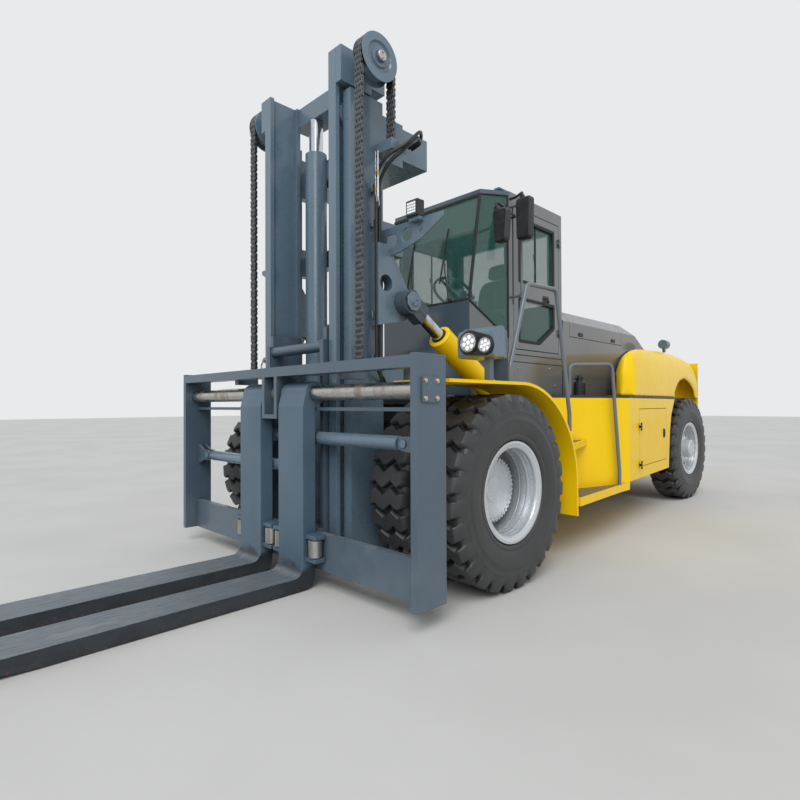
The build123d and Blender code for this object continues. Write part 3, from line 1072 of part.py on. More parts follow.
def cab_base():
    """Pedestal and skirt that carry the cab above the deck."""
    base = block(-CAB_BASE_X, CAB_BASE_X, 700, 1050, DECK_TOP, CAB_FLOOR_Z)
    base += block(-CAB_X, CAB_X, 1049, CAB_REAR_Y, DECK_TOP, CAB_FLOOR_Z)
    return base


def seat():
    """Driver's seat."""
    body = block(-260, 260, 1350, 1850, 1980, 2110)
    body += side_plate([(1790, 2050), (1900, 2050), (1985, 2800), (1900, 2800)], -250, 250)
    body += block(-150, 150, 1450, 1750, CAB_FLOOR_Z + 40, 1981)
    return body


def dashboard():
    """Front console below the windscreen with the steering column."""
    body = side_plate([(CAB_SILL_Y + 60, CAB_FLOOR_Z + 40), (CAB_SILL_Y + 60, 2220), (900, 2300), (980, 2240),
                       (900, CAB_FLOOR_Z + 40)], -330, 330)
    body += bar_between((0, 900, 2150), column_top(), 35)
    return body


def column_top():
    """Point on the steering column's axis where the wheel's hub starts."""
    tip = Vector(0, 1120, 2458) - Vector(0, *COLUMN_DIR).normalized() * WHEEL_HUB_H / 2
    return (tip.X, tip.Y, tip.Z)


def steering_wheel():
    """Steering wheel on its column."""
    plane = Plane(origin=(0, 1120, 2458), z_dir=(0,) + COLUMN_DIR)
    wheel = plane * Torus(210, 15)
    wheel += plane * Cylinder(48, WHEEL_HUB_H)
    for turn in (90, 210, 330):
        wheel += plane * Rot(0, 0, turn) * Pos(115, 0, 0) * Box(190, 26, 12)
    return wheel


def hood_section(x_in, lift, y):
    """Chamfered cross-section of the hood at one Y, as a face."""
    side = HOOD_SIDE_X - x_in
    top = HOOD_TOP_X - x_in
    pts = [(-side, DECK_TOP), (side, DECK_TOP), (side, HOOD_SHOULDER_Z - lift), (top, HOOD_TOP_Z - lift),
           (-top, HOOD_TOP_Z - lift), (-side, HOOD_SHOULDER_Z - lift)]
    return pts


def hood():
    """Engine hood: chamfered shell with a sloping tail and openings for two gull-wing lids."""
    outer = front_plate(hood_section(0, 0, 0), HOOD_Y0, HOOD_REAR_Y)
    slope = side_plate(
        [(HOOD_SLOPE_Y, HOOD_TOP_Z), (HOOD_REAR_Y, HOOD_REAR_Z), (HOOD_REAR_Y + 50, HOOD_REAR_Z),
         (HOOD_REAR_Y + 50, HOOD_TOP_Z + 50), (HOOD_SLOPE_Y, HOOD_TOP_Z + 50)], -HOOD_SIDE_X - 1, HOOD_SIDE_X + 1)
    outer -= slope
    t = HOOD_WALL
    inner = front_plate(hood_section(t, t, 0), HOOD_Y0 + t, HOOD_REAR_Y - t)
    inner -= Pos(0, -t, -t) * slope
    shell = outer - inner
    shell -= block(-HOOD_SIDE_X - 1, HOOD_SIDE_X + 1, RAIL_REAR_Y - 20, HOOD_REAR_Y + 1, DECK_TOP - 1, UPPER_DECK_Z + 35)
    opening = block(LID_SPINE_X - DOOR_SLOT, HOOD_SIDE_X + 1, LID_Y0 - DOOR_SLOT, LID_Y1 + DOOR_SLOT,
                    LID_Z0 - DOOR_SLOT, HOOD_TOP_Z + 1)
    shell -= opening
    shell -= mirrored(opening)
    for fixed, _ in lid_hinges():
        shell += fixed
        shell += mirrored(fixed)
    return shell


def hood_lid():
    """Left gull-wing lid: half of the hood's top with its chamfer and upper side."""
    t = HOOD_WALL
    skin = front_plate(hood_section(0, 0, 0), LID_Y0, LID_Y1) - front_plate(hood_section(t, t, 0), LID_Y0 - 1, LID_Y1 + 1)
    lid = skin & block(LID_SPINE_X, HOOD_SIDE_X + 1, LID_Y0, LID_Y1, LID_Z0, HOOD_TOP_Z + 1)
    for _, moving in lid_hinges():
        lid += moving
    return lid


def engine():
    """Engine as one plain mass on the frame."""
    return block(-330, 330, ENGINE_Y0, ENGINE_Y1, DECK_TOP, 1960)


def fender_body(wall):
    """Bulged body over the left rear wheel, or the hollow inside it where a wall is given."""
    front_y = REAR_FENDER_FRONT_Y
    nose_x = REAR_FENDER_NOSE_X
    plan = [(REAR_FENDER_INNER_X, front_y + 1050), (nose_x - 105, front_y + 90), (nose_x, front_y),
            (nose_x + 90, front_y + 130), (REAR_FENDER_X, WEIGHT_FRONT_Y), (REAR_FENDER_INNER_X, WEIGHT_FRONT_Y)]
    top = REAR_FENDER_TOP - wall
    low = DECK_TOP - (20 if wall else 0)
    body = None
    for i, shares in enumerate(FENDER_EDGE_LEANS):
        (ax, ay), (bx, by) = plan[i], plan[(i + 1) % len(plan)]
        outline = [(wall, low)]
        for drop, *leans in REAR_FENDER_LEVELS:
            outline.append((wall + sum(a * b for a, b in zip(shares, leans)), top - drop))
        outline += [(WHEELBASE, top), (WHEELBASE, low)]
        edge = Plane(origin=(ax, ay, 0), x_dir=(ay - by, bx - ax, 0), z_dir=(bx - ax, by - ay, 0))
        side = extrude(edge * make_face(Polyline(*outline, close=True)), amount=WHEELBASE, both=True)
        body = side if body is None else body & side
    return body


def rear_fender():
    """Left rear fender: bulged shell over the rear wheel with an arch opening."""
    shell = fender_body(0) - fender_body(REAR_FENDER_WALL)
    arch = [(WHEELBASE + y, DECK_TOP + z) for y, z in REAR_ARCH]
    return shell - side_plate(arch, REAR_FENDER_INNER_X + REAR_FENDER_WALL, REAR_FENDER_NOSE_X + 200)


def counterweight():
    """Counterweight behind the rear wheels, with a rear grille and a drawbar pocket."""
    rear_x = WEIGHT_X - WEIGHT_TAPER
    plan = [(-WEIGHT_X, WEIGHT_FRONT_Y), (WEIGHT_X, WEIGHT_FRONT_Y), (WEIGHT_X - 50, WEIGHT_REAR_Y - 200),
            (rear_x, WEIGHT_REAR_Y - 40), (rear_x - 60, WEIGHT_REAR_Y), (60 - rear_x, WEIGHT_REAR_Y),
            (-rear_x, WEIGHT_REAR_Y - 40), (50 - WEIGHT_X, WEIGHT_REAR_Y - 200)]
    body = plan_plate(plan, WEIGHT_Z0, WEIGHT_TOP)
    body += side_plate([(HOOD_REAR_Y + 2, UPPER_DECK_Z + 36), (HOOD_REAR_Y + 2, HOOD_REAR_Z), (WHEELBASE + 50, WEIGHT_TOP),
                        (WEIGHT_FRONT_Y + 1, WEIGHT_TOP), (WEIGHT_FRONT_Y + 1, UPPER_DECK_Z + 36)],
                       -REAR_FENDER_INNER_X + 1, REAR_FENDER_INNER_X - 1)
    for z, depth in ((WEIGHT_TOP, 110), (WEIGHT_Z0, -160)):
        body -= side_plate([(WEIGHT_REAR_Y - 45, z), (WEIGHT_REAR_Y + 1, z - depth), (WEIGHT_REAR_Y + 1, z)],
                           -WEIGHT_X, WEIGHT_X)
    body -= block(-110, 110, WEIGHT_REAR_Y - 170, WEIGHT_REAR_Y + 1, 700, 860)
    body -= z_rod(0, WEIGHT_REAR_Y - 80, 660, WEIGHT_TOP + 1, DRAW_PIN_R)
    back = WEIGHT_REAR_Y - GRILLE_DEPTH
    body -= block(-GRILLE_X, GRILLE_X, back, WEIGHT_REAR_Y + 1, GRILLE_Z0, GRILLE_Z0 + GRILLE_SLATS * GRILLE_PITCH)
    for k in range(GRILLE_SLATS):
        z = GRILLE_Z0 + (k + 0.2) * GRILLE_PITCH
        body += side_plate([(back - 1, z + 24), (back - 1, z + 36), (WEIGHT_REAR_Y - 2, z + 12), (WEIGHT_REAR_Y - 2, z)],
                           -GRILLE_X - 1, GRILLE_X + 1)
    return body


def headlight():
    """Left headlight pod on its post, with two round lamps in bezels."""
    front, base = POD_FRONT_Y, FENDER_TOP
    pod = side_plate(
        [(front, base + 165), (front, base + 335), (front + 90, base + 378), (front + 240, base + 355),
         (front + 265, base + 245), (front + 240, base + 165)], 1165, 1470,
        fillets=(((front, base + 165), 25), ((front, base + 335), 40)))
    pod &= plan_plate([(1165, front - 1), (1470, front - 1), (1470, front + 120), (1405, front + 266),
                       (1165, front + 266)], base + 100, base + 400)
    pod += block(1300, 1345, front + 130, front + 180, base, base + 166)
    for x, rise, r in POD_LAMPS:
        bezel = Pos(x, front - 6, base + rise) * Rot(90, 0, 0) * (Cylinder(r + 8, 26) - Cylinder(r, 28))
        lens = Pos(x, front - 4, base + rise) * Rot(90, 0, 0) * Cylinder(r + 1, 14)
        pod += bezel + lens
    return pod


def grab_rails():
    """Left grab rails beside the steps."""
    foot = (RAIL_FOOT_X, RAIL_FOOT_Y)
    step_top = STEP_LEVELS[0][0] + STEP_LEVELS[0][1]
    front = bent_tube([(1400, 60, FENDER_TOP), (1400, 60, FENDER_TOP + 110), (1400, 290, 2195), (1400, 720, 2215),
                       foot + (RAIL_FOOT_Z + 140,), foot + (RAIL_FOOT_Z,)], 60, RAIL_TUBE_R)
    rear = bent_tube([(1110, 1480, DECK_TOP), (1110, 1480, 1665), (1330, 1900, 1680), RAIL_REAR_FOOT + (step_top + 140,),
                      RAIL_REAR_FOOT + (step_top,)], 60, RAIL_TUBE_R)
    side = bent_tube([(CAB_X, SIDE_TUBE_Y, CAB_HEAD_Z - 50), (SIDE_TUBE_X, SIDE_TUBE_Y, CAB_HEAD_Z - 50),
                      (SIDE_TUBE_X, SIDE_TUBE_Y, CAB_SILL_Z + 60), (CAB_X, SIDE_TUBE_Y, CAB_SILL_Z + 60)], 40, MIRROR_ARM_R)
    return [front, rear, side]


def mirror_head(outline, y0, y1):
    """Mirror housing from an (x, z) outline with rounded corners."""
    face = make_face(Polyline(*outline, close=True))
    face = fillet(face.vertices(), 34)
    shell = Pos(0, y1, 0) * extrude(Plane.XZ * face, amount=y1 - y0)
    return chamfer(shell.faces().sort_by(Axis.Y)[0].edges(), 14)


def mirrors():
    """Left mirrors on arms from the cab's roof corner."""
    low, x = MIRROR_Z, MIRROR_ARM_X
    head1 = mirror_head([(x - 8, low), (x + 112, low), (x + 132, low + 280), (x - 28, low + 280)], 500, 560)
    head2 = mirror_head([(x - 50, low + 120), (x + 92, low + 120), (x + 102, low + 490), (x - 58, low + 490)], 900, 960)
    root = CAB_X + 60
    high, mid = CAB_HEAD_Z + 30, CAB_HEAD_Z - 150
    arm = bent_tube([(CAB_X, SIDE_TUBE_Y, high), (root, SIDE_TUBE_Y, high), (x, 930, high - 50), (x, 930, low + 460)],
                    20, MIRROR_ARM_R)
    arm2 = bent_tube([(CAB_X, SIDE_TUBE_Y, mid), (root, SIDE_TUBE_Y, mid), (x + 4, 530, mid - 60),
                      (x + 4, 530, low + 250)], 20, MIRROR_ARM_R)
    return head1 + arm2, head2 + arm


def drum_lamp():
    """Left drum lamp standing on the rear fender."""
    z = REAR_FENDER_TOP + 47 + DRUM_LAMP_R
    lamp = Pos(DRUM_LAMP_X, DRUM_LAMP_Y, z) * Rot(90, 0, 0) * Cylinder(DRUM_LAMP_R, 110)
    return lamp + block(DRUM_LAMP_X - 15, DRUM_LAMP_X + 15, DRUM_LAMP_Y - 20, DRUM_LAMP_Y + 20, REAR_FENDER_TOP, z)


def both_sides(*shapes):
    """Compound of pieces on the left with their mirror images on the right."""
    pieces = list(shapes)
    pieces += [mirrored(shape) for shape in shapes]
    return Compound(children=pieces)


def build():
    """All nodes of the truck, by name."""
    left = {}
    left.update(front_wheel())
    left.update(rear_wheel())
    left["knuckle"] = knuckle()
    left["tilt_barrel"], left["tilt_rod"] = tilt_cylinder()
    left["cab_door"] = cab_door()
    left["box_door"] = box_door()
    left["hood_lid"] = hood_lid()
    nodes = {}
    for name, shape in left.items():
        nodes[name + "_left"] = shape
        nodes[name + "_right"] = mirrored(shape)
    nodes["fork_left"] = fork(FORK_INNER_X, POSITIONER_LOW_Z)
    nodes["fork_right"] = mirrored(fork(FORK_INNER_X, POSITIONER_Z))
    nodes["positioner_barrels"] = Compound(
        children=[positioner_barrel(POSITIONER_Z), mirrored(positioner_barrel(POSITIONER_LOW_Z))])
    lift_barrel, lift_rod = lift_cylinder()
    nodes["lift_barrels"] = both_sides(lift_barrel)
    nodes["lift_rods"] = both_sides(lift_rod)
    nodes["chain_sheaves"] = both_sides(chain_sheave())
    nodes["chain_front_runs"] = both_sides(chain_run(CHAIN_Y, CHAIN_LOW_Z, SHEAVE_Z))
    nodes["chain_rear_runs"] = both_sides(chain_run(CHAIN_Y + 2 * SHEAVE_R, CHAIN_ANCHOR_Z, SHEAVE_Z))
    nodes["work_lamps"] = both_sides(work_lamp())
    nodes["lamps"] = both_sides(headlight(), drum_lamp())
    nodes["grab_rails"] = both_sides(*grab_rails())
    nodes["mirrors"] = both_sides(*mirrors())
    nodes["side_boxes"] = both_sides(side_box())
    nodes["front_fenders"] = both_sides(front_fender())
    nodes["rear_fenders"] = both_sides(rear_fender())
    nodes["axle_housings"] = Compound(children=[front_axle(), steer_axle()])
    nodes["cab_interior"] = Compound(children=[seat(), dashboard(), steering_wheel()])
    nodes["outer_mast"] = outer_mast()
    nodes["mast_brackets"] = both_sides(mast_bracket())
    nodes["inner_mast"] = inner_mast()
    nodes["carriage"] = carriage()
    nodes["carriage_shaft"] = x_rod(-END_PLATE_X - 9, END_PLATE_X + 9, SHAFT_Y, SHAFT_Z, SHAFT_R)
    nodes["chassis_frame"] = chassis_frame()
    nodes["cab_shell"] = cab_shell() + cab_base()
    nodes["cab_glass"] = cab_glass()
    nodes["hood"] = hood()
    nodes["engine_block"] = engine()
    nodes["counterweight"] = counterweight()
    return nodes


os.makedirs("parts", exist_ok=True)
for node_name, node_shape in build().items():
    export_step(Pos(0, -Y_MID, 0) * node_shape, f"parts/{node_name}.step")
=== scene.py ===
"""Heavy forklift truck: finishes, tyres, chains, lamps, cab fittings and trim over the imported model.

Sizes are millimetres in the truck's own frame: X to its left, Y rearward from the front
axle, Z up from the floor. They become metres of the shared frame when a mesh is made.
"""

import logging
import math
from dataclasses import dataclass
from enum import Enum
from functools import cached_property
from typing import Sequence

import bmesh
import bpy
import numpy as np
from mathutils import Matrix


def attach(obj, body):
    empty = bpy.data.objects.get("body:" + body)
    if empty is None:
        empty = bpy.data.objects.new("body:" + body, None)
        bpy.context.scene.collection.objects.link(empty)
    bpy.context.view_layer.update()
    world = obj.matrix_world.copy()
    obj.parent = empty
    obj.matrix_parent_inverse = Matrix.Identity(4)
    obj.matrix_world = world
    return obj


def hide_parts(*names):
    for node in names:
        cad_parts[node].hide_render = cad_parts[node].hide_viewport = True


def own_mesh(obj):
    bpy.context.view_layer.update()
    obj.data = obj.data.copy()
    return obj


LOG = logging.getLogger("forklift")
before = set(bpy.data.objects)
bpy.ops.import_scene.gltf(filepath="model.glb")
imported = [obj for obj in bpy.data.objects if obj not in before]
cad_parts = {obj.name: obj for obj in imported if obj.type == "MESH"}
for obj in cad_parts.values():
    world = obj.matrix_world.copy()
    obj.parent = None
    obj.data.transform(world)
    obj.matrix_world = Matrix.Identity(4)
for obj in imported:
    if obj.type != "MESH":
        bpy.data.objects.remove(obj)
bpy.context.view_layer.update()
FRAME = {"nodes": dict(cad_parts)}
MM_PER_M = 1000.0
AXLE_TO_MIDDLE = 1306.5
AXLE_Z = 685.0
WHEELBASE = 4850.0
LEFTWARD, REARWARD, FORWARD, UPWARD = (1, 0, 0), (0, 1, 0), (0, -1, 0), (0, 0, 1)
ORIGIN = (0, 0, 0)
SOFT_SAMPLES = 4
CURVE_POINTS, CORNER_POINTS = 6, 5

Vec = Sequence[float]
Points = Sequence[Vec]
Triple = tuple[float, float, float]
Rgb = tuple[int, int, int]
Socket = bpy.types.NodeSocket


class Side(Enum):
    """The truck's two sides, with the sign of X on each."""

    LEFT = 1
    RIGHT = -1

    @property
    def word(self) -> str:
        """Ending of this side's body and node names."""
        return self.name.lower()


@dataclass
class Shape:
    """Points in millimetres and faces over them.

    points is an (n, 3) array, loops lists each face's points in turn and sizes holds
    the number of points of each face.
    """

    points: np.ndarray
    loops: np.ndarray
    sizes: np.ndarray

    def placed(self, frame: np.ndarray) -> "Shape":
        """The shape carried by a 4 by 4 placement: rotation times each point, plus the shift."""
        return Shape(self.points @ frame[:3, :3].T + frame[:3, 3], self.loops, self.sizes)

    def at(self, origin: Vec, z_dir: Vec = UPWARD, x_dir: Vec | None = None) -> "Shape":
        """The shape with its zero at an origin and its Z along a direction."""
        return self.placed(place(origin, z_dir, x_dir))

    def copies(self, frames: np.ndarray) -> "Shape":
        """Copies of the shape, one at each placement.

        Args:
            frames: an (m, 4, 4) array of placements.

        Returns:
            One shape of m copies; every copy's points are its rotation times the shape's, plus its shift.
        """
        count = len(frames)
        points = np.einsum("mij,nj->mni", frames[:, :3, :3], self.points) + frames[:, None, :3, 3]
        loops = self.loops[None, :] + (np.arange(count) * len(self.points))[:, None]
        return Shape(points.reshape(-1, 3), loops.ravel(), np.tile(self.sizes, count))

    def spread(self, origins: Points, z_dir: Vec, x_dir: Vec | None = None) -> "Shape":
        """Copies of the shape at several origins, all facing one way."""
        frames = np.repeat(place(ORIGIN, z_dir, x_dir)[None], len(origins), 0)
        frames[:, :3, 3] = origins
        return self.copies(frames)

    def mirrored(self) -> "Shape":
        """The same shape on the other side: X changes sign and every face turns round."""
        return Shape(self.points * (-1, 1, 1), self.loops[::-1].copy(), self.sizes[::-1].copy())

    def both(self) -> "Shape":
        """The shape and its mirror image."""
        return join(self, self.mirrored())

    def on(self, side: Side) -> "Shape":
        """The shape as drawn for the left, or its mirror image for the right."""
        return self if side is Side.LEFT else self.mirrored()


def join(*parts: Shape) -> Shape:
    """Several shapes as one, with the points of each after those of the last."""
    starts = np.cumsum([0] + [len(p.points) for p in parts[:-1]])
    return Shape(np.concatenate([p.points for p in parts]),
                 np.concatenate([p.loops + s for p, s in zip(parts, starts)]),
                 np.concatenate([p.sizes for p in parts]))


def unit(v: np.ndarray) -> np.ndarray:
    """Vectors scaled to length one along the last axis."""
    v = np.asarray(v, float)
    return v / np.linalg.norm(v, axis=-1, keepdims=True)


def place(origin: Vec, z_dir: Vec, x_dir: Vec | None = None) -> np.ndarray:
    """Placement with its own Z along a direction.

    Args:
        origin: where the placement's zero goes.
        z_dir: direction of its Z.
        x_dir: rough direction of its X, or None for any.

    Returns:
        A 4 by 4 array whose columns are X, Y = Z cross X, Z and the origin.
    """
    z = unit(z_dir)
    if x_dir is None:
        x_dir = LEFTWARD if abs(z[0]) < 0.9 else REARWARD
    x = np.asarray(x_dir, float)
    x = unit(x - z * (x @ z))
    frame = np.eye(4)
    frame[:3, :3] = np.stack([x, np.cross(z, x), z], 1)
    frame[:3, 3] = origin
    return frame


def turned(count: int, centre: Vec, axis: int = 0, phase: float = 0.0) -> np.ndarray:
    """Placements that turn a shape round an axis by equal steps.

    Args:
        count: number of steps in a full turn.
        centre: a point on the axis.
        axis: 0, 1 or 2 for X, Y or Z.
        phase: angle of the first one, in radians.

    Returns:
        An (m, 4, 4) array: rotation by the angle about the axis through the centre.
    """
    angle = phase + np.arange(count) * 2 * np.pi / count
    i, j = [(1, 2), (2, 0), (0, 1)][axis]
    frames = np.repeat(np.eye(4)[None], count, 0)
    frames[:, i, i] = frames[:, j, j] = np.cos(angle)
    frames[:, i, j] = -np.sin(angle)
    frames[:, j, i] = np.sin(angle)
    c = np.asarray(centre, float)
    frames[:, :3, 3] = c - np.einsum("mij,j->mi", frames[:, :3, :3], c)
    return frames


def grid(points: np.ndarray, ring: bool = False) -> Shape:
    """Quads between neighbouring points of a grid whose last column joins its first.

    Args:
        points: an (m, n, 3) array.
        ring: the last row joins the first too; otherwise one face closes the first row and one the last.

    Returns:
        The surface: face (i, j) runs through points (i, j), (i+1, j), (i+1, j+1), (i, j+1).
    """
    m, n = points.shape[:2]
    i, j = np.meshgrid(np.arange(m if ring else m - 1), np.arange(n), indexing="ij")
    i2, j2 = (i + 1) % m, (j + 1) % n
    quads = np.stack([i * n + j, i2 * n + j, i2 * n + j2, i * n + j2], -1).reshape(-1, 4)
    loops, sizes = quads.ravel(), np.full(len(quads), 4)
    if not ring:
        loops = np.concatenate([loops, np.arange(n), (m - 1) * n + np.arange(n)[::-1]])
        sizes = np.append(sizes, [n, n])
    return Shape(points.reshape(-1, 3), loops, sizes)


def lathe(profile: Points, centre: Vec, axis: Vec = LEFTWARD, segments: int = 64,
          ring: bool = False) -> Shape:
    """Surface of revolution.

    Args:
        profile: (distance along the axis, radius) points.
        centre: the point on the axis that distances start from.
        axis: direction of the axis.
        segments: points round the axis.
        ring: the profile closes on itself; otherwise flat faces close its two ends.

    Returns:
        Point = centre + axis * along + radius * (cos a * side + sin a * up), a from 0 to a full turn.
    """
    p = np.asarray(profile, float)
    a = np.linspace(0, 2 * np.pi, segments, endpoint=False)
    around = np.stack([np.cos(a), np.sin(a)], -1)
    along = np.broadcast_to(p[:, None, :1], (len(p), segments, 1))
    local = np.concatenate([p[:, None, 1:] * around[None], along], -1)
    return grid(local, ring).at(centre, axis)


def inset(outline: Points, d: float) -> np.ndarray:
    """A counter-clockwise outline moved inwards by d: each corner slides along both edges' inward normals,
    over one plus their dot product."""
    outline = np.asarray(outline, float)
    edge = unit(np.roll(outline, -1, 0) - outline)
    normal = np.stack([-edge[:, 1], edge[:, 0]], -1)
    before = np.roll(normal, 1, 0)
    return outline + d * (normal + before) / (1 + np.sum(normal * before, -1, keepdims=True))


def layers(rings: Sequence[tuple[np.ndarray, float]]) -> np.ndarray:
    """Outlines at their heights, as rows of a grid."""
    return np.stack([np.column_stack([o, np.full(len(o), z)]) for o, z in rings])


def prism(outline: Points, z0: float, z1: float, chamfer: float = 0.0) -> Shape:
    """Outline carried along Z, with chamfered rims.

    Args:
        outline: (n, 2) points, counter-clockwise.
        z0: lower end.
        z1: upper end.
        chamfer: width of the chamfer on both rims.

    Returns:
        Rings of the outline at z0, z0 + chamfer, z1 - chamfer and z1, the end ones moved inwards, and caps.
    """
    outline = np.asarray(outline, float)
    rings = [(outline, z0), (outline, z1)]
    if chamfer > 0:
        small = inset(outline, chamfer)
        rings = [(small, z0), (outline, z0 + chamfer), (outline, z1 - chamfer), (small, z1)]
    return grid(layers(rings))


def hoop(outline: np.ndarray, width: float, z0: float, z1: float) -> Shape:
    """Flat frame between a counter-clockwise outline and the same outline moved inwards by its width."""
    small = inset(outline, width)
    return grid(layers([(outline, z0), (outline, z1), (small, z1), (small, z0)]), ring=True)


def disc(radius: float, count: int) -> np.ndarray:
    """Outline of a regular polygon: radius times (cos a, sin a)."""
    a = np.linspace(0, 2 * np.pi, count, endpoint=False)
    return radius * np.stack([np.cos(a), np.sin(a)], -1)


def oblong(x0: float, x1: float, y0: float, y1: float) -> list[tuple[float, float]]:
    """Corners of an upright rectangle, counter-clockwise."""
    return [(x0, y0), (x1, y0), (x1, y1), (x0, y1)]


def rounded(width: float, height: float, radius: float, steps: int = 4) -> np.ndarray:
    """Outline of a rectangle about zero with rounded corners: four quarter arcs, one in each corner."""
    a = np.linspace(0, np.pi / 2, steps + 1)
    arcs = a[None, :] + (np.arange(4) * np.pi / 2)[:, None]
    corner = np.array([(1, 1), (-1, 1), (-1, -1), (1, -1)]) * (width / 2 - radius, height / 2 - radius)
    return (corner[:, None] + radius * np.stack([np.cos(arcs), np.sin(arcs)], -1)).reshape(-1, 2)


def parabolas(before: np.ndarray, c: np.ndarray, after: np.ndarray, radius: float, count: int) -> np.ndarray:
    """Arcs that round corners c: (1-t)^2 a + 2t(1-t) c + t^2 b, with a and b at the radius's distance from
    each corner towards the ones before and after it."""
    a, b = c + unit(before - c) * radius, c + unit(after - c) * radius
    t = np.linspace(0, 1, count)[None, :, None]
    arcs = (1 - t) ** 2 * a[:, None] + 2 * t * (1 - t) * c[:, None] + t ** 2 * b[:, None]
    return arcs.reshape(-1, c.shape[1])


def softened(corners: Points, radius: float) -> np.ndarray:
    """Closed outline whose corners are rounded by parabolas."""
    c = np.asarray(corners, float)
    return parabolas(np.roll(c, 1, 0), c, np.roll(c, -1, 0), radius, CORNER_POINTS)


def bend(corners: Points, radius: float) -> np.ndarray:
    """Path through corners, each but the ends rounded by a parabola."""
    c = np.asarray(corners, float)
    return np.concatenate([c[:1], parabolas(c[:-2], c[1:-1], c[2:], radius, CURVE_POINTS), c[-1:]])


def pressed(corners: Points, radius: float, z0: float, z1: float, chamfer: float) -> Shape:
    """Flat plate over corners that are rounded by a radius, with chamfered rims."""
    return prism(softened(corners, radius), z0, z1, chamfer)


def on_flank(shape: Shape) -> Shape:
    """Shape drawn over (y, z) and thick along x, stood up on the truck's left flank."""
    return shape.at(ORIGIN, LEFTWARD, REARWARD)


def on_front(shape: Shape) -> Shape:
    """Shape drawn over (x, z) and thick towards the front, stood up across the truck."""
    return shape.at(ORIGIN, FORWARD, LEFTWARD)


def block(x0: float, x1: float, y0: float, y1: float, z0: float, z1: float, r: float = 4.0) -> Shape:
    """Box between six planes with rounded upright edges and chamfered rims."""
    r = min(r, (x1 - x0) * 0.4, (y1 - y0) * 0.4, (z1 - z0) * 0.4)
    return prism(rounded(x1 - x0, y1 - y0, r, 2), z0, z1, r * 0.6).at(((x0 + x1) / 2, (y0 + y1) / 2, 0))


def carry(outline: np.ndarray, path: Points, up: Vec | None = None) -> Shape:
    """An outline carried along a path.

    Args:
        outline: (n, 2) points, counter-clockwise.
        path: (m, 3) points.
        up: direction that the outline's second axis leans to, or None for the one least along the path.

    Returns:
        Point (i, j) = path i + outline j across the path's direction there, with closed ends.
    """
    path = np.asarray(path, float)
    t = unit(np.gradient(path, axis=0))
    if up is None:
        up = np.eye(3)[np.argmin(np.abs(t).max(0))]
    n = np.asarray(up, float)
    n = unit(n - t * (t @ n)[:, None])
    b = np.cross(n, t)
    points = path[:, None] + outline[None, :, :1] * b[:, None] + outline[None, :, 1:] * n[:, None]
    return grid(points)


def tube(path: Points, radius: float, sides: int = 12) -> Shape:
    """Round tube along a path."""
    return carry(disc(radius, sides), path)


def bolt(size: float) -> Shape:
    """Hexagon bolt head on its washer, seated at Z = 0 and pointing up Z."""
    return join(prism(disc(size * 1.12, 18), 0, size * 0.18, size * 0.04),
                prism(disc(size * 0.92, 6), size * 0.18, size * 0.78, size * 0.09))


def bolt_ring(size: float, count: int, x: float, y: float, radius: float) -> Shape:
    """Bolt heads that face left, evenly round a circle on a wheel's axle."""
    return bolt(size).at((x, y, AXLE_Z + radius), LEFTWARD).copies(turned(count, (0, y, AXLE_Z)))


def swollen(size: Vec, centre: Vec, power: float) -> Shape:
    """Rounded box as a superellipsoid.

    Args:
        size: full widths along X, Y and Z.
        centre: its middle.
        power: 2 gives an ellipsoid; larger is squarer.

    Returns:
        Half widths times (c(v) c(u), c(v) s(u), s(v)), where c and s are the cosine and sine raised
        to 2 / power with their signs kept.
    """
    count, pole = 28, np.pi / 2 - 0.02
    u = np.linspace(0, 2 * np.pi, count * 2, endpoint=False)
    v = np.linspace(-pole, pole, count)
    waves = (np.cos(u), np.sin(u), np.cos(v), np.sin(v))
    cu, su, cv, sv = (np.sign(f) * np.abs(f) ** (2.0 / power) for f in waves)
    up = np.broadcast_to(sv[:, None], (count, count * 2))
    local = np.stack([cv[:, None] * cu, cv[:, None] * su, up], -1)
    return grid(local * np.asarray(size) / 2).at(centre)


def tone(colour: Rgb) -> tuple[float, float, float, float]:
    """Display colour from 0 to 255 as the linear colour that a shader takes."""
    c = np.array(colour) / 255.0
    lin = np.where(c <= 0.04045, c / 12.92, ((c + 0.055) / 1.055) ** 2.4)
    return (float(lin[0]), float(lin[1]), float(lin[2]), 1.0)


def dim(colour: Rgb, share: float, lift: int = 0) -> Rgb:
    """Display colour times a share, plus a lift."""
    return tuple(int(v * share + lift) for v in colour)


class Tree:
    """Node tree of a material or of the surroundings, with shorthand for making and linking nodes."""

    def __init__(self, owner: bpy.types.Material | bpy.types.World) -> None:
        """Empties the owner's node tree.

        Args:
            owner: what the tree belongs to.
        """
        owner.use_nodes = True
        self.tree = owner.node_tree
        self.tree.nodes.clear()

    def plug(self, socket: Socket, value: object) -> None:
        """Links a socket to another, or sets its own value."""
        if isinstance(value, bpy.types.NodeSocket):
            self.tree.links.new(value, socket)
        else:
            socket.default_value = value

    def node(self, kind: str, inputs: dict | None = None, **settings: object) -> bpy.types.Node:
        """A new node.

        Args:
            kind: its type's name after ShaderNode.
            inputs: value or source of each input that isn't left alone.
            settings: the node's own settings.

        Returns:
            The node, set and linked.
        """
        made = self.tree.nodes.new("ShaderNode" + kind)
        for name, value in settings.items():
            setattr(made, name, value)
        for key, value in (inputs or {}).items():
            self.plug(made.inputs[key], value)
        return made

    def calc(self, rule: str, a: object, b: object) -> Socket:
        """One sum, product or the like of two values."""
        return self.node("Math", {0: a, 1: b}, operation=rule).outputs[0]

    def times(self, a: object, b: object) -> Socket:
        """Product of two values."""
        return self.calc("MULTIPLY", a, b)

    def plus(self, a: object, b: object) -> Socket:
        """Sum of two values."""
        return self.calc("ADD", a, b)


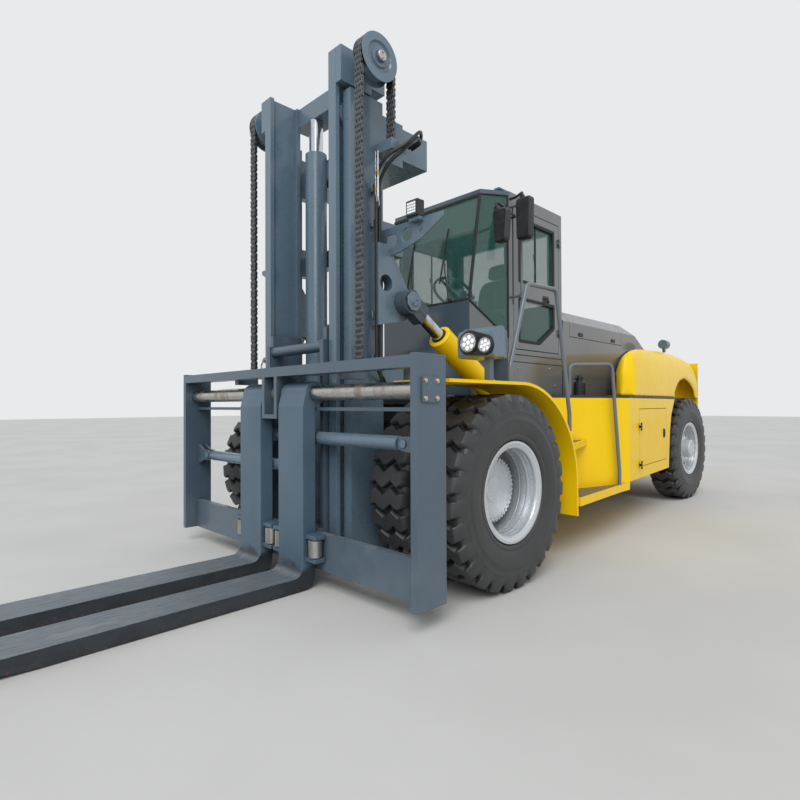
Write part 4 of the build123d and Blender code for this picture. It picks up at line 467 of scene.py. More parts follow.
class Graph(Tree):
    """Node tree of one finish, with a method for each kind of node that finishes share."""

    def __init__(self, name: str) -> None:
        """Starts an empty tree with one shader.

        Args:
            name: the material's name.
        """
        self.material = bpy.data.materials.new(name)
        super().__init__(self.material)
        self.shader = self.node("BsdfPrincipled")
        self.node("OutputMaterial", {0: self.shader.outputs[0]})
        where = self.node("TexCoord")
        self.spot = where.outputs["Object"]
        self.facing = where.outputs["Normal"]

    def put(self, **values: object) -> None:
        """Sets or links the shader's sockets; an underscore in a name stands for a space."""
        for name, value in values.items():
            self.plug(self.shader.inputs[name.replace("_", " ")], value)

    def squeezed(self, stretch: Vec) -> Socket:
        """The object's own metres, each axis times its stretch."""
        return self.node("Mapping", {"Scale": stretch, "Vector": self.spot}).outputs[0]

    def noise(self, scale: float, detail: float, stretch: Vec = (1, 1, 1)) -> Socket:
        """Cloudy pattern over the object's own metres, squeezed along each axis by stretch."""
        spot = self.spot if tuple(stretch) == (1, 1, 1) else self.squeezed(stretch)
        return self.node("TexNoise", {"Scale": scale, "Detail": detail, "Roughness": 0.55,
                                      "Vector": spot}).outputs["Fac"]

    def cells(self, scale: float) -> Socket:
        """Distance to the nearest of many scattered points."""
        return self.node("TexVoronoi", {"Scale": scale, "Vector": self.spot}).outputs["Distance"]

    def step(self, value: object, low: float, high: float, a: float = 0.0, b: float = 1.0) -> Socket:
        """Smooth step of a value from low to high, given as a to b."""
        inputs = dict(enumerate((value, low, high, a, b)))
        return self.node("MapRange", inputs, interpolation_type="SMOOTHSTEP").outputs[0]

    def lay(self, under: Socket | Rgb, over: Socket | Rgb, share: object) -> Socket:
        """One colour laid over another by a share from 0 to 1."""
        under, over = (tone(c) if isinstance(c, tuple) else c for c in (under, over))
        return self.node("Mix", {0: share, 6: under, 7: over}, data_type="RGBA").outputs[2]

    def axis(self, vector: Socket, index: int) -> Socket:
        """One part of a vector."""
        return self.node("SeparateXYZ", {0: vector}).outputs[index]

    def hollows(self, distance: float) -> Socket:
        """How open the surface is, from 0 in a deep corner to 1 in the open."""
        return self.node("AmbientOcclusion", {"Distance": distance}, samples=SOFT_SAMPLES).outputs["AO"]

    def soft_edge(self, radius: float) -> Socket:
        """Normal that rounds the edges by a radius in metres."""
        return self.node("Bevel", {"Radius": radius}, samples=SOFT_SAMPLES).outputs[0]

    def edges(self, normal: Socket, low: float = 0.01, high: float = 0.22) -> Socket:
        """1 along edges and 0 on flats: one minus the dot product of the rounded and the plain normal."""
        plain = self.node("NewGeometry").outputs["Normal"]
        alike = self.node("VectorMath", {0: normal, 1: plain}, operation="DOT_PRODUCT").outputs["Value"]
        return self.step(self.calc("SUBTRACT", 1.0, alike), low, high)

    def bump(self, height: object, depth: float, strength: float, normal: Socket | None = None) -> Socket:
        """Normal of a surface raised by a height from 0 to 1 times a depth in metres."""
        made = self.node("Bump", {"Strength": strength, "Distance": depth, "Height": height})
        if normal is not None:
            self.plug(made.inputs["Normal"], normal)
        return made.outputs[0]


@dataclass(frozen=True)
class Finish:
    """A finish of the truck; each kind draws its own patterns on the object's own coordinates."""

    def draw(self, g: Graph) -> None:
        """Draws the finish into a graph."""
        raise NotImplementedError

    def material(self, name: str) -> bpy.types.Material:
        """The finish as a material of a name."""
        g = Graph(name)
        self.draw(g)
        return g.material


@dataclass(frozen=True)
class Paint(Finish):
    """Sprayed paint on steel plate: slightly uneven colour, dust on top faces, wear along edges."""

    colour: Rgb
    shade: Rgb
    dust: Rgb = (176, 170, 158)
    dust_share: float = 0.30
    wear: Rgb = (150, 152, 154)
    wear_share: float = 0.35
    gloss: float = 0.36
    coat: float = 0.25
    soften: float = 0.004
    metal: float = 0.0
    specular: float = 0.5
    # colour of forward-facing faces: a slate tone with painted shade in it, for a front that lies in shade
    front: Rgb | None = None
    high: Rgb | None = None
    high_z: float = 3.31

    def draw(self, g: Graph) -> None:
        """Draws clouds, a darker front colour with painted shade, streaks, settled dust, worn edges and
        painted shade in the corners, in that order.
        """
        blotch = g.noise(9.0, 6)
        fine = g.noise(70.0, 4)
        streak = g.noise(3.0, 3, (3.0, 3.0, 0.5))
        colour = g.lay(self.colour, self.shade, g.step(g.noise(0.8, 3), 0.38, 0.66, 0.0, 0.8))
        # painted shade: faces that look forward take the darker front colour, partly the front panels' slate
        # tone
        if self.front:
            colour = g.lay(colour, self.front, g.step(g.axis(g.facing, 1), -0.55, -0.25, 1.0, 0.0))
        if self.high:
            colour = g.lay(colour, self.high, g.step(g.axis(g.spot, 2), self.high_z, self.high_z + 0.003))
        colour = g.lay(colour, dim(self.shade, 0.80), g.step(streak, 0.56, 0.80, 0.0, 0.05))
        colour = g.lay(colour, self.dust, g.step(blotch, 0.60, 0.76, 0.0, self.dust_share * 0.3))
        up = g.step(g.axis(g.facing, 2), 0.55, 0.95)
        low = g.step(g.axis(g.spot, 2), 0.0, 0.9, 0.30, 0.0)
        patches = g.step(g.plus(g.times(blotch, 0.7), g.times(fine, 0.3)), 0.36, 0.62, 0.25, 1.0)
        settled = g.times(g.plus(up, low), patches)
        colour = g.lay(colour, self.dust, g.times(settled, self.dust_share))
        rounded_normal = g.soft_edge(self.soften)
        worn = g.times(g.edges(rounded_normal), g.step(blotch, 0.42, 0.66))
        colour = g.lay(colour, self.wear, g.times(worn, self.wear_share))
        # painted shade: corners and crevices darken towards a third of the shade colour where ambient
        # occlusion finds cover
        colour = g.lay(colour, dim(self.shade, 0.35), g.step(g.hollows(0.12), 0.30, 0.85, 0.45, 0.0))
        rough = g.plus(g.step(blotch, 0.35, 0.7, self.gloss - 0.05, self.gloss + 0.07),
                       g.times(settled, self.dust_share * 0.9))
        ripple = g.bump(g.noise(1.6, 1), 0.0012, 0.35, rounded_normal)
        peel = g.bump(g.noise(260.0, 2), 0.00012, 0.35, ripple)
        g.put(Base_Color=colour, Roughness=rough, Metallic=self.metal, Specular_IOR_Level=self.specular,
              Coat_Weight=self.coat, Coat_Roughness=0.12, Normal=peel)


@dataclass(frozen=True)
class ForkPaint(Finish):
    """Fork paint that ends above the blade: bare scuffed top, blackened sides with rust."""

    colour: Rgb = (86, 106, 122)
    shade: Rgb = (72, 92, 108)
    top: Rgb = (118, 126, 132)
    scratched: Rgb = (92, 97, 103)
    bare: Rgb = (150, 150, 148)
    side: Rgb = (56, 63, 69)
    scorch: Rgb = (42, 46, 50)
    rust: Rgb = (104, 70, 48)
    wear: Rgb = (158, 158, 156)
    # colour of the painted shade in the fork's hollows
    corner_shade: Rgb = (24, 26, 28)

    def draw(self, g: Graph) -> None:
        """Draws the fork's paint, worn by height and by which way each face looks."""
        height = g.axis(g.spot, 2)
        blotch = g.noise(7.0, 6, (1.6, 0.5, 1.0))
        fine = g.noise(48.0, 5)
        scratch = g.noise(26.0, 4, (6.0, 0.35, 1.0))
        paint = g.lay(self.colour, self.shade, g.step(g.noise(0.9, 3), 0.4, 0.65, 0, 0.8))
        scuffed = g.lay(self.top, self.scratched, g.step(scratch, 0.42, 0.68))
        scuffed = g.lay(scuffed, self.bare, g.step(blotch, 0.56, 0.72, 0, 0.5))
        low = g.step(height, 0.02, 0.07, 0.8, 0.12)
        sides = g.lay(self.side, self.rust, g.times(g.step(fine, 0.50, 0.70), low))
        sides = g.lay(sides, self.scorch, g.step(blotch, 0.46, 0.60, 0, 0.5))
        blade = g.lay(sides, scuffed, g.step(g.axis(g.facing, 2), 0.4, 0.9))
        edge = g.plus(height, g.times(g.calc("SUBTRACT", blotch, 0.5), 0.14))
        share = g.step(edge, 0.135, 0.20)
        colour = g.lay(blade, paint, share)
        rounded_normal = g.soft_edge(0.006)
        worn = g.times(g.edges(rounded_normal), g.step(fine, 0.35, 0.6))
        colour = g.lay(colour, self.wear, g.times(worn, 0.5))
        # painted shade: darker in hollows that ambient occlusion finds
        colour = g.lay(colour, self.corner_shade, g.step(g.hollows(0.10), 0.30, 0.85, 0.4, 0.0))
        g.put(Base_Color=colour, Roughness=g.step(share, 0.0, 1.0, 0.55, 0.38),
              Metallic=g.step(share, 0.0, 1.0, 0.35, 0.0), Coat_Weight=0.0,
              Normal=g.bump(g.plus(g.times(fine, 0.5), scratch), 0.0006, 0.5, rounded_normal))


@dataclass(frozen=True)
class Metal(Finish):
    """Bare metal with turned or rubbed lines and stains."""

    colour: Rgb
    stain: Rgb
    stain_share: float = 0.5
    rough: tuple[float, float] = (0.22, 0.42)
    stretch: Triple = (1.0, 1.0, 1.0)
    scale: float = 5.0
    grain: float = 60.0
    depth: float = 0.0003
    soften: float = 0.002
    # colour of the painted shade in the metal's hollows
    corner_shade: Rgb = (28, 26, 24)

    def draw(self, g: Graph) -> None:
        """Draws the metal with its stains gathered in broad bands."""
        specks = g.noise(self.grain, 5)
        mask = g.plus(g.times(g.noise(self.scale, 6, self.stretch), 0.75), g.times(specks, 0.25))
        dirty = g.step(mask, 0.46, 0.66, 0.0, self.stain_share)
        colour = g.lay(self.colour, self.stain, dirty)
        # painted shade: darker in hollows that ambient occlusion finds
        colour = g.lay(colour, self.corner_shade, g.step(g.hollows(0.03), 0.25, 0.9, 0.55, 0.0))
        g.put(Base_Color=colour, Roughness=g.step(mask, 0.35, 0.68, *self.rough),
              Metallic=g.step(dirty, 0.0, 1.0, 1.0, 0.35),
              Normal=g.bump(specks, self.depth, 0.5, g.soft_edge(self.soften)))


@dataclass(frozen=True)
class RodWithEye(Finish):
    """Chromed rod whose forged eye is painted, told apart by the distance along the rod from the eye."""

    steel: Rgb = (206, 209, 214)
    oil: Rgb = (96, 90, 82)
    paint: Rgb = (70, 84, 95)
    along: tuple[float, float] = (-0.8453, 0.5343)
    eye_at: float = 2.452

    def draw(self, g: Graph) -> None:
        """Draws the rod: the distance is y times one part of the rod's direction plus z times the other."""
        travel = g.plus(g.times(g.axis(g.spot, 1), self.along[0]), g.times(g.axis(g.spot, 2), self.along[1]))
        share = g.step(g.calc("SUBTRACT", travel, self.eye_at), -0.182, -0.178)
        blotch = g.noise(9.0, 5)
        steel = g.lay(self.steel, self.oil, g.step(blotch, 0.46, 0.66, 0.0, 0.5))
        paint = g.lay(self.paint, dim(self.paint, 0.82), g.step(blotch, 0.4, 0.66, 0.0, 0.6))
        g.put(Base_Color=g.lay(steel, paint, share), Metallic=g.step(share, 0.0, 1.0, 1.0, 0.0),
              Roughness=g.step(share, 0.0, 1.0, 0.16, 0.38),
              Normal=g.bump(g.noise(90.0, 4), 0.0004, 0.4, g.soft_edge(0.006)))


@dataclass(frozen=True)
class Rubber(Finish):
    """Tyre or hose rubber: painted shade in its hollows, rubbed lighter and dusty on what stands out."""

    colour: Rgb = (50, 51, 52)
    dust: Rgb = (98, 96, 92)
    dust_share: float = 0.4
    # distance in metres that the painted shade of the hollows looks for cover
    reach: float = 0.07
    rough: float = 0.46

    def draw(self, g: Graph) -> None:
        """Draws the rubber, with painted shade where the surface is enclosed."""
        fine = g.noise(140.0, 4)
        colour = g.lay(self.colour, dim(self.colour, 1.2, 4), g.step(g.noise(4.0, 3), 0.36, 0.68, 0.0, 0.4))
        colour = g.lay(colour, self.dust, g.times(g.step(fine, 0.46, 0.70), self.dust_share * 0.5))
        # painted shade: hollows such as the tread grooves darken towards a quarter of the rubber's colour
        colour = g.lay(colour, dim(self.colour, 0.26), g.step(g.hollows(self.reach), 0.30, 0.92, 0.92, 0.0))
        colour = g.lay(colour, self.dust, g.times(g.edges(g.soft_edge(0.006), 0.02, 0.3), 0.35))
        grain = g.plus(g.times(fine, 0.35), g.noise(26.0, 4))
        g.put(Base_Color=colour, Roughness=self.rough, Specular_IOR_Level=0.5,
              Normal=g.bump(grain, 0.0008, 0.4, g.soft_edge(0.003)))


@dataclass(frozen=True)
class Moulding(Finish):
    """Moulded plastic, cloth or rubber trim with a fine grain."""

    colour: Rgb
    rough: float = 0.5
    grain: float = 900.0
    depth: float = 0.0002
    second: Rgb | None = None
    sheen: float = 0.0

    def draw(self, g: Graph) -> None:
        """Draws the moulding with a grain bump and a thin film of dust."""
        blotch = g.noise(16.0, 5)
        colour = g.lay(self.colour, self.second or dim(self.colour, 0.8, 16), g.step(blotch, 0.4, 0.66))
        normal = g.bump(g.noise(self.grain, 2), self.depth, 0.6, g.soft_edge(0.003))
        rough = g.step(blotch, 0.35, 0.7, self.rough - 0.06, self.rough + 0.10)
        g.put(Base_Color=colour, Roughness=rough, Sheen_Weight=self.sheen, Normal=normal)


@dataclass(frozen=True)
class Pane(Finish):
    """Window glass, clear lamp cover or coloured lens."""

    colour: Rgb
    rough: float = 0.02
    veil: float = 0.35
    glow: float = 0.0

    def draw(self, g: Graph) -> None:
        """Draws the glass: it covers what lies behind by its veil, and its smears are faint."""
        smear = g.step(g.noise(3.0, 5, (1.0, 1.0, 0.4)), 0.45, 0.72, self.rough, self.rough + 0.05)
        tint = g.lay(self.colour, dim(self.colour, 0.88), g.step(g.noise(0.7, 2), 0.4, 0.62, 0.0, 0.25))
        clear = self.veil < 0.9
        g.put(Base_Color=tint, Roughness=smear, Alpha=self.veil, IOR=1.5,
              Specular_IOR_Level=1.0 if clear else 0.4, Coat_Weight=0.8 if clear else 0.1)
        if self.glow:
            g.put(Emission_Color=tone(self.colour), Emission_Strength=self.glow)


@dataclass(frozen=True)
class Grip(Finish):
    """Anti-slip step sheet: closely spaced raised dots on grey-green grit."""

    colour: Rgb = (158, 140, 84)
    pit: Rgb = (96, 92, 78)
    dust: Rgb = (140, 134, 120)

    def draw(self, g: Graph) -> None:
        """Draws the grip sheet."""
        raised = g.step(g.cells(75.0), 0.28, 0.45, 1.0, 0.0)
        colour = g.lay(self.pit, self.colour, raised)
        colour = g.lay(colour, self.dust, g.step(g.noise(8.0, 4), 0.5, 0.7, 0.0, 0.35))
        normal = g.bump(g.plus(raised, g.times(g.noise(420.0, 3), 0.3)), 0.0016, 0.7)
        g.put(Base_Color=colour, Roughness=0.72, Normal=normal)


class Coat(Enum):
    """Every finish on the truck: its material's name, its look, the record's slot that its pieces fill where
    that isn't the name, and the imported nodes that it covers."""

    SLATE = ("mast_paint", Paint((98, 118, 133), (88, 107, 121), dust_share=0.12, gloss=0.28, coat=0.35),
             None, "lamps outer_mast lift_barrels inner_mast chain_sheaves positioner_barrels mast_brackets")
    FORK = ("fork_paint", ForkPaint(), None, "fork")
    PLATE = ("plate_paint", Paint((80, 97, 111), (72, 89, 103), dust_share=0.22, wear=(140, 144, 146),
                                  wear_share=0.5), None, "carriage")
    YELLOW = ("yellow_paint", Paint((255, 211, 12), (254, 206, 10), dust=(244, 214, 120), dust_share=0.04,
                                    wear_share=0.05, gloss=0.34, coat=0.08, specular=0.2), None,
              "counterweight side_boxes front_fenders rear_fenders box_door tilt_barrel")
    # the cab's front colour is a slate tone with painted shade on forward-facing faces
    CHARCOAL = ("cab_paint", Paint((113, 114, 115), (106, 107, 108), dust_share=0.12, wear_share=0.10,
                                   gloss=0.18, coat=0.4, front=(78, 94, 106), high=(112, 134, 150)), None,
                "cab_shell hood cab_door hood_lid")
    FRAME = ("frame_paint", Paint((44, 50, 56), (36, 41, 46), dust=(96, 90, 80), dust_share=0.4, gloss=0.5,
                                  coat=0.0), None, "chassis_frame axle_housings knuckle")
    SILVER = ("silver_paint", Paint((206, 210, 214), (200, 204, 208), dust_share=0.03, wear_share=0.0,
                                    gloss=0.26, coat=0.2, metal=0.4), None, "front_hub_rims rear_hub_rim")
    BLACK = ("black_paint", Paint((104, 112, 120), (94, 101, 109), dust_share=0.12, wear_share=0.2,
                                  gloss=0.34, soften=0.002), None, "grab_rails")
    ENGINE = ("engine_paint", Paint((70, 74, 78), (54, 58, 62), dust_share=0.5, gloss=0.5, coat=0.0), None,
              "engine_block")
    PLASTIC = ("black_plastic", Moulding((30, 31, 33), 0.46), None, "mirrors work_lamps")
    GLASS = ("glass", Pane((58, 112, 104), 0.02, 0.34), None, "cab_glass")
    TINT = ("sun_strip", Pane((14, 92, 74), 0.05, 0.72), "glass")
    LINING = ("cab_lining", Moulding((84, 92, 94), 0.8, 600.0), "black_plastic", "cab_interior")
    TILT_ROD = ("tilt_rod", RodWithEye(), None, "tilt_rod")
    LENS = ("lens", Pane((240, 243, 246), 0.02, 0.14), "glass")
    LED = ("lamp_led", Pane((244, 247, 250), 0.2, 1.0, 0.35), "glass")
    REFLECTOR = ("lamp_reflector", Metal((226, 228, 232), (190, 192, 196), 0.2, (0.08, 0.18), depth=0.0001),
                 "rod_chrome")
    AMBER = ("amber_lens", Pane((222, 104, 8), 0.15, 0.98), "glass")
    RED = ("red_lens", Pane((168, 12, 10), 0.15, 0.98), "glass")
    MIRROR = ("mirror_glass", Metal((222, 226, 230), (200, 204, 208), 0.1, (0.02, 0.05), depth=0.00002),
              "glass")
    CHROME = ("rod_chrome", Metal((206, 209, 214), (150, 146, 138), 0.25, (0.10, 0.22), scale=6.0, grain=90.0,
                                  depth=0.0001), None, "lift_rods")
    SHAFT = ("worn_steel", Metal((190, 188, 182), (122, 100, 78), 0.75, (0.22, 0.46), (3.0, 0.8, 0.8), 3.2,
                                 55.0, 0.0004), None, "carriage_shaft")
    CHAIN = ("chain_steel", Metal((104, 107, 110), (58, 56, 54), 0.6, (0.32, 0.50), scale=22.0, grain=160.0),
             None, "chain_front_runs chain_rear_runs")
    ZINC = ("zinc_bolts", Metal((196, 192, 182), (142, 128, 104), 0.5, (0.28, 0.45), scale=30.0, grain=200.0),
            "worn_steel")
    BRASS = ("brass", Metal((176, 158, 112), (110, 96, 66), 0.4, (0.26, 0.42), scale=30.0, grain=200.0),
             "worn_steel")
    RUBBER = ("tyre_rubber", Rubber(), None, "front_tyres rear_tyre")
    HOSE = ("hose_rubber", Rubber((26, 27, 28), (52, 52, 52), 0.15, 0.03, 0.42), "black_plastic")
    SEAL = ("window_seal", Moulding((22, 23, 24), 0.6, 500.0), "black_plastic")
    SEAT = ("seat_cloth", Moulding((44, 46, 50), 0.85, 1600.0, 0.0005, (58, 60, 64), 0.3), "black_plastic")
    GRIP = ("step_grip", Grip(), "black_plastic")
    MESH = ("grille_black", Moulding((26, 27, 28), 0.55), "black_plastic")

    def __init__(self, title: str, finish: Finish, slot: str | None = None, nodes: str = "") -> None:
        """Spreads a member's values over names.

        Args:
            title: the material's name.
            finish: its look.
            slot: the record's slot, or None for the one of the same name.
            nodes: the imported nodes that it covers, without their side.
        """
        self.title, self.finish, self.slot, self.nodes = title, finish, slot or title, nodes.split()

    @cached_property
    def material(self) -> bpy.types.Material:
        """The finish's material, made once."""
        return self.finish.material(self.title)


def dress_nodes() -> None:
    """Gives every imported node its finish, on its own material slots."""
    coat_of = {node: coat for coat in Coat for node in coat.nodes}
    for name, node in FRAME["nodes"].items():
        coat = coat_of[name.removesuffix("_left").removesuffix("_right")]
        if not node.material_slots:
            node.data.materials.append(coat.material)
        for slot in node.material_slots:
            slot.material = coat.material
    LOG.info("dressed %d nodes", len(FRAME["nodes"]))


def stand(name: str, data: bpy.types.ID, frame: np.ndarray | None = None) -> bpy.types.Object:
    """Puts an object into the scene, at a placement if one is given."""
    thing = bpy.data.objects.new(name, data)
    bpy.context.scene.collection.objects.link(thing)
    if frame is not None:
        thing.matrix_world = Matrix(frame.tolist())
    return thing


def make(name: str, shape: Shape, coat: Coat, body: str, sharp: float = 32.0,
         slot: str | None = None) -> bpy.types.Object:
    """Puts a shape into the scene as one piece.

    Args:
        name: the piece's name.
        shape: its surface, in millimetres of the truck's frame.
        coat: its finish.
        body: the moving body that it rides on.
        sharp: edges above this angle in degrees stay sharp.
        slot: not used.

    Returns:
        The new object, at the origin and unturned.
    """
    mesh = bpy.data.meshes.new(name)
    points = (shape.points - (0, AXLE_TO_MIDDLE, 0)) / MM_PER_M
    starts = np.concatenate([[0], np.cumsum(shape.sizes)[:-1]])
    mesh.vertices.add(len(points))
    mesh.vertices.foreach_set("co", points.ravel())
    mesh.loops.add(len(shape.loops))
    mesh.loops.foreach_set("vertex_index", shape.loops.astype(np.int32))
    mesh.polygons.add(len(shape.sizes))
    mesh.polygons.foreach_set("loop_start", starts.astype(np.int32))
    mesh.update(calc_edges=True)
    mesh.validate()
    work = bmesh.new()
    work.from_mesh(mesh)
    bmesh.ops.recalc_face_normals(work, faces=work.faces)
    work.to_mesh(mesh)
    work.free()
    mesh.polygons.foreach_set("use_smooth", np.ones(len(mesh.polygons), bool))
    mesh.set_sharp_from_angle(angle=math.radians(sharp))
    mesh.materials.append(coat.material)
    piece = stand(name, mesh)
    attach(piece, body)
    LOG.info("%s: %d faces on %s", name, len(shape.sizes), body)
    return piece


def make_on(side: Side, name: str, shape: Shape, coat: Coat, body: str,
            slot: str | None = None) -> bpy.types.Object:
    """Makes one side's piece from a shape drawn for the left; its and its body's names end in the side's."""
    return make(f"{name}_{side.word}", shape.on(side), coat, f"{body}_{side.word}", slot=slot)


@dataclass
class Tyre:
    """Deep-lugged dump-truck tyre on an X axis."""

    x: float
    y: float
    lug_half: float = 54.0
    lugs: int = 27
    shoulder: float = 7.0
    spread: float = 13.0
    mean_r: float = 660.0
    lug_steps: int = 5

    def carcass(self) -> Shape:
        """Sidewalls, beads and the groove floor: a closed profile turned about the axle."""
        half = np.array([
            (145.8, 318), (145.8, 356.6), (152, 362), (163, 368), (170, 380), (172, 396), (170, 402),
            (175, 416), (182, 446), (185.5, 478), (187, 500), (187.4, 507), (187, 516), (184.6, 520),
            (184.8, 540), (182.5, 560), (183.5, 566), (180.5, 571), (177, 592), (172, 612), (164, 628),
            (150, 637), (110, 641), (55, 643), (0, 644)])
        profile = np.concatenate([half, half[-2::-1] * (-1, 1)])
        return lathe(profile, (self.x, self.y, AXLE_Z), segments=self.lugs * self.lug_steps, ring=True)

    def lug(self) -> Shape:
        """Tread bar at the top of the tyre: at each place across the tread it has a foot and a top radius,
        a half width and a shift round the tyre, which zig-zags, and its section is a flat-topped block."""
        out = np.array([0, 30, 60, 92, 120, 146, 163, 172, 177, 180, 181.0])
        foot_out = np.array([632, 632, 632, 632, 630, 626, 618, 606, 592, 575, 560.0])
        top_out = np.array([685, 685, 685, 685, 685, 683, 664, 643, 622, 600, 572.0])
        across = np.concatenate([-out[:0:-1], out])
        foot, top = (np.concatenate([r[:0:-1], r])[:, None] for r in (foot_out, top_out))
        shift = np.interp(across, [-181, -150, -95, -20, 60, 115, 150, 181], [-6, -8, 22, -30, 30, -14, 4, 6])
        half = np.interp(np.abs(across), [0, 100, 181], [self.lug_half, self.lug_half, self.lug_half - 8])
        side = np.array([-1.0, -1.0, -0.88, 0.88, 1.0, 1.0])
        slope = np.array([-self.spread, 0, 0, 0, 0, self.spread])
        drop = np.array([np.inf, self.shoulder, 0, 0, self.shoulder, np.inf])
        radial = np.maximum(top - drop, foot)
        angle = (shift[:, None] + half[:, None] * side + slope) / self.mean_r
        points = np.stack([
            np.broadcast_to(self.x + across[:, None], angle.shape),
            self.y + radial * np.sin(angle),
            AXLE_Z + radial * np.cos(angle),
        ], -1)
        return grid(points)

    def shape(self) -> Shape:
        """The whole tyre."""
        return join(self.carcass(), self.lug().copies(turned(self.lugs, (0, self.y, AXLE_Z))))


@dataclass
class Wheels:
    """Tyres and rim trim of one side."""

    side: Side
    outer_x: float = 1315.0
    inner_x: float = 865.0
    rear_x: float = 955.0
    hub_face: float = 1303.0
    disc_x: float = 1209.0
    cap_x: float = 1144.0

    def rim_trim(self, x: float, y: float) -> list[Shape]:
        """Lock ring, gutter and weld beads inside one rim: closed rings turned about the axle."""
        return [lathe(profile, (x, y, AXLE_Z), ring=True) for profile in (
            [(146, 330), (158.5, 334), (159.8, 345), (158.5, 354.5), (152, 355.4), (146, 352)],
            [(118, 316), (118, 309), (126, 305), (142, 306), (150, 312), (150, 330), (146, 332), (140, 316)],
            [(60, 304), (60, 299.5), (68, 296), (78, 296), (86, 299.5), (86, 304)],
            [(-8, 304), (-6, 300), (0, 298.5), (6, 300), (8, 304)],
        )]

    def front(self) -> None:
        """Front twin tyres, rims and hub plate."""
        tyres = join(*(Tyre(x, 0).shape() for x in (self.outer_x, self.inner_x)))
        piece = make_on(self.side, "front_tread", tyres, Coat.RUBBER, "front_wheels")
        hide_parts(f"front_tyres_{self.side.word}")
        rings = self.rim_trim(self.outer_x, 0) + self.rim_trim(self.inner_x, 0)
        make_on(self.side, "front_rim_rings", join(*rings), Coat.SILVER, "front_wheels")
        cover = lathe([(-1, 96), (2, 95), (3, 88), (3, 2)], (self.hub_face, 0, AXLE_Z))
        ring = bolt_ring(7, 28, self.hub_face, 0, 204)
        make_on(self.side, "front_hub_plate", join(ring, cover), Coat.SILVER, "front_wheels")
        nuts = bolt_ring(17, 20, self.disc_x, 0, 262)
        make_on(self.side, "front_hub_bolts", nuts, Coat.ZINC, "front_wheels", "silver_paint")

    def rear(self) -> None:
        """Rear tyre, rim rings, studs and hub cap."""
        tyre = Tyre(self.rear_x, WHEELBASE, lug_half=50.0).shape()
        piece = make_on(self.side, "rear_tread", tyre, Coat.RUBBER, "rear_wheel")
        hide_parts(f"rear_tyre_{self.side.word}")
        cone = lathe([(48, 200), (52, 214), (54, 250), (60, 286), (68, 303), (54, 303), (48, 292)],
                     (self.rear_x, WHEELBASE, AXLE_Z), ring=True)
        rings = join(*self.rim_trim(self.rear_x, WHEELBASE), cone)
        make_on(self.side, "rear_rim_rings", rings, Coat.SILVER, "rear_wheel")
        nuts = bolt_ring(17, 16, self.rear_x + 54, WHEELBASE, 232)
        cap = bolt_ring(8, 8, self.cap_x, WHEELBASE, 84)
        make_on(self.side, "rear_studs", join(nuts, cap), Coat.ZINC, "rear_wheel", "silver_paint")

    def build(self) -> None:
        """All wheel pieces of this side."""
        self.front()
        self.rear()


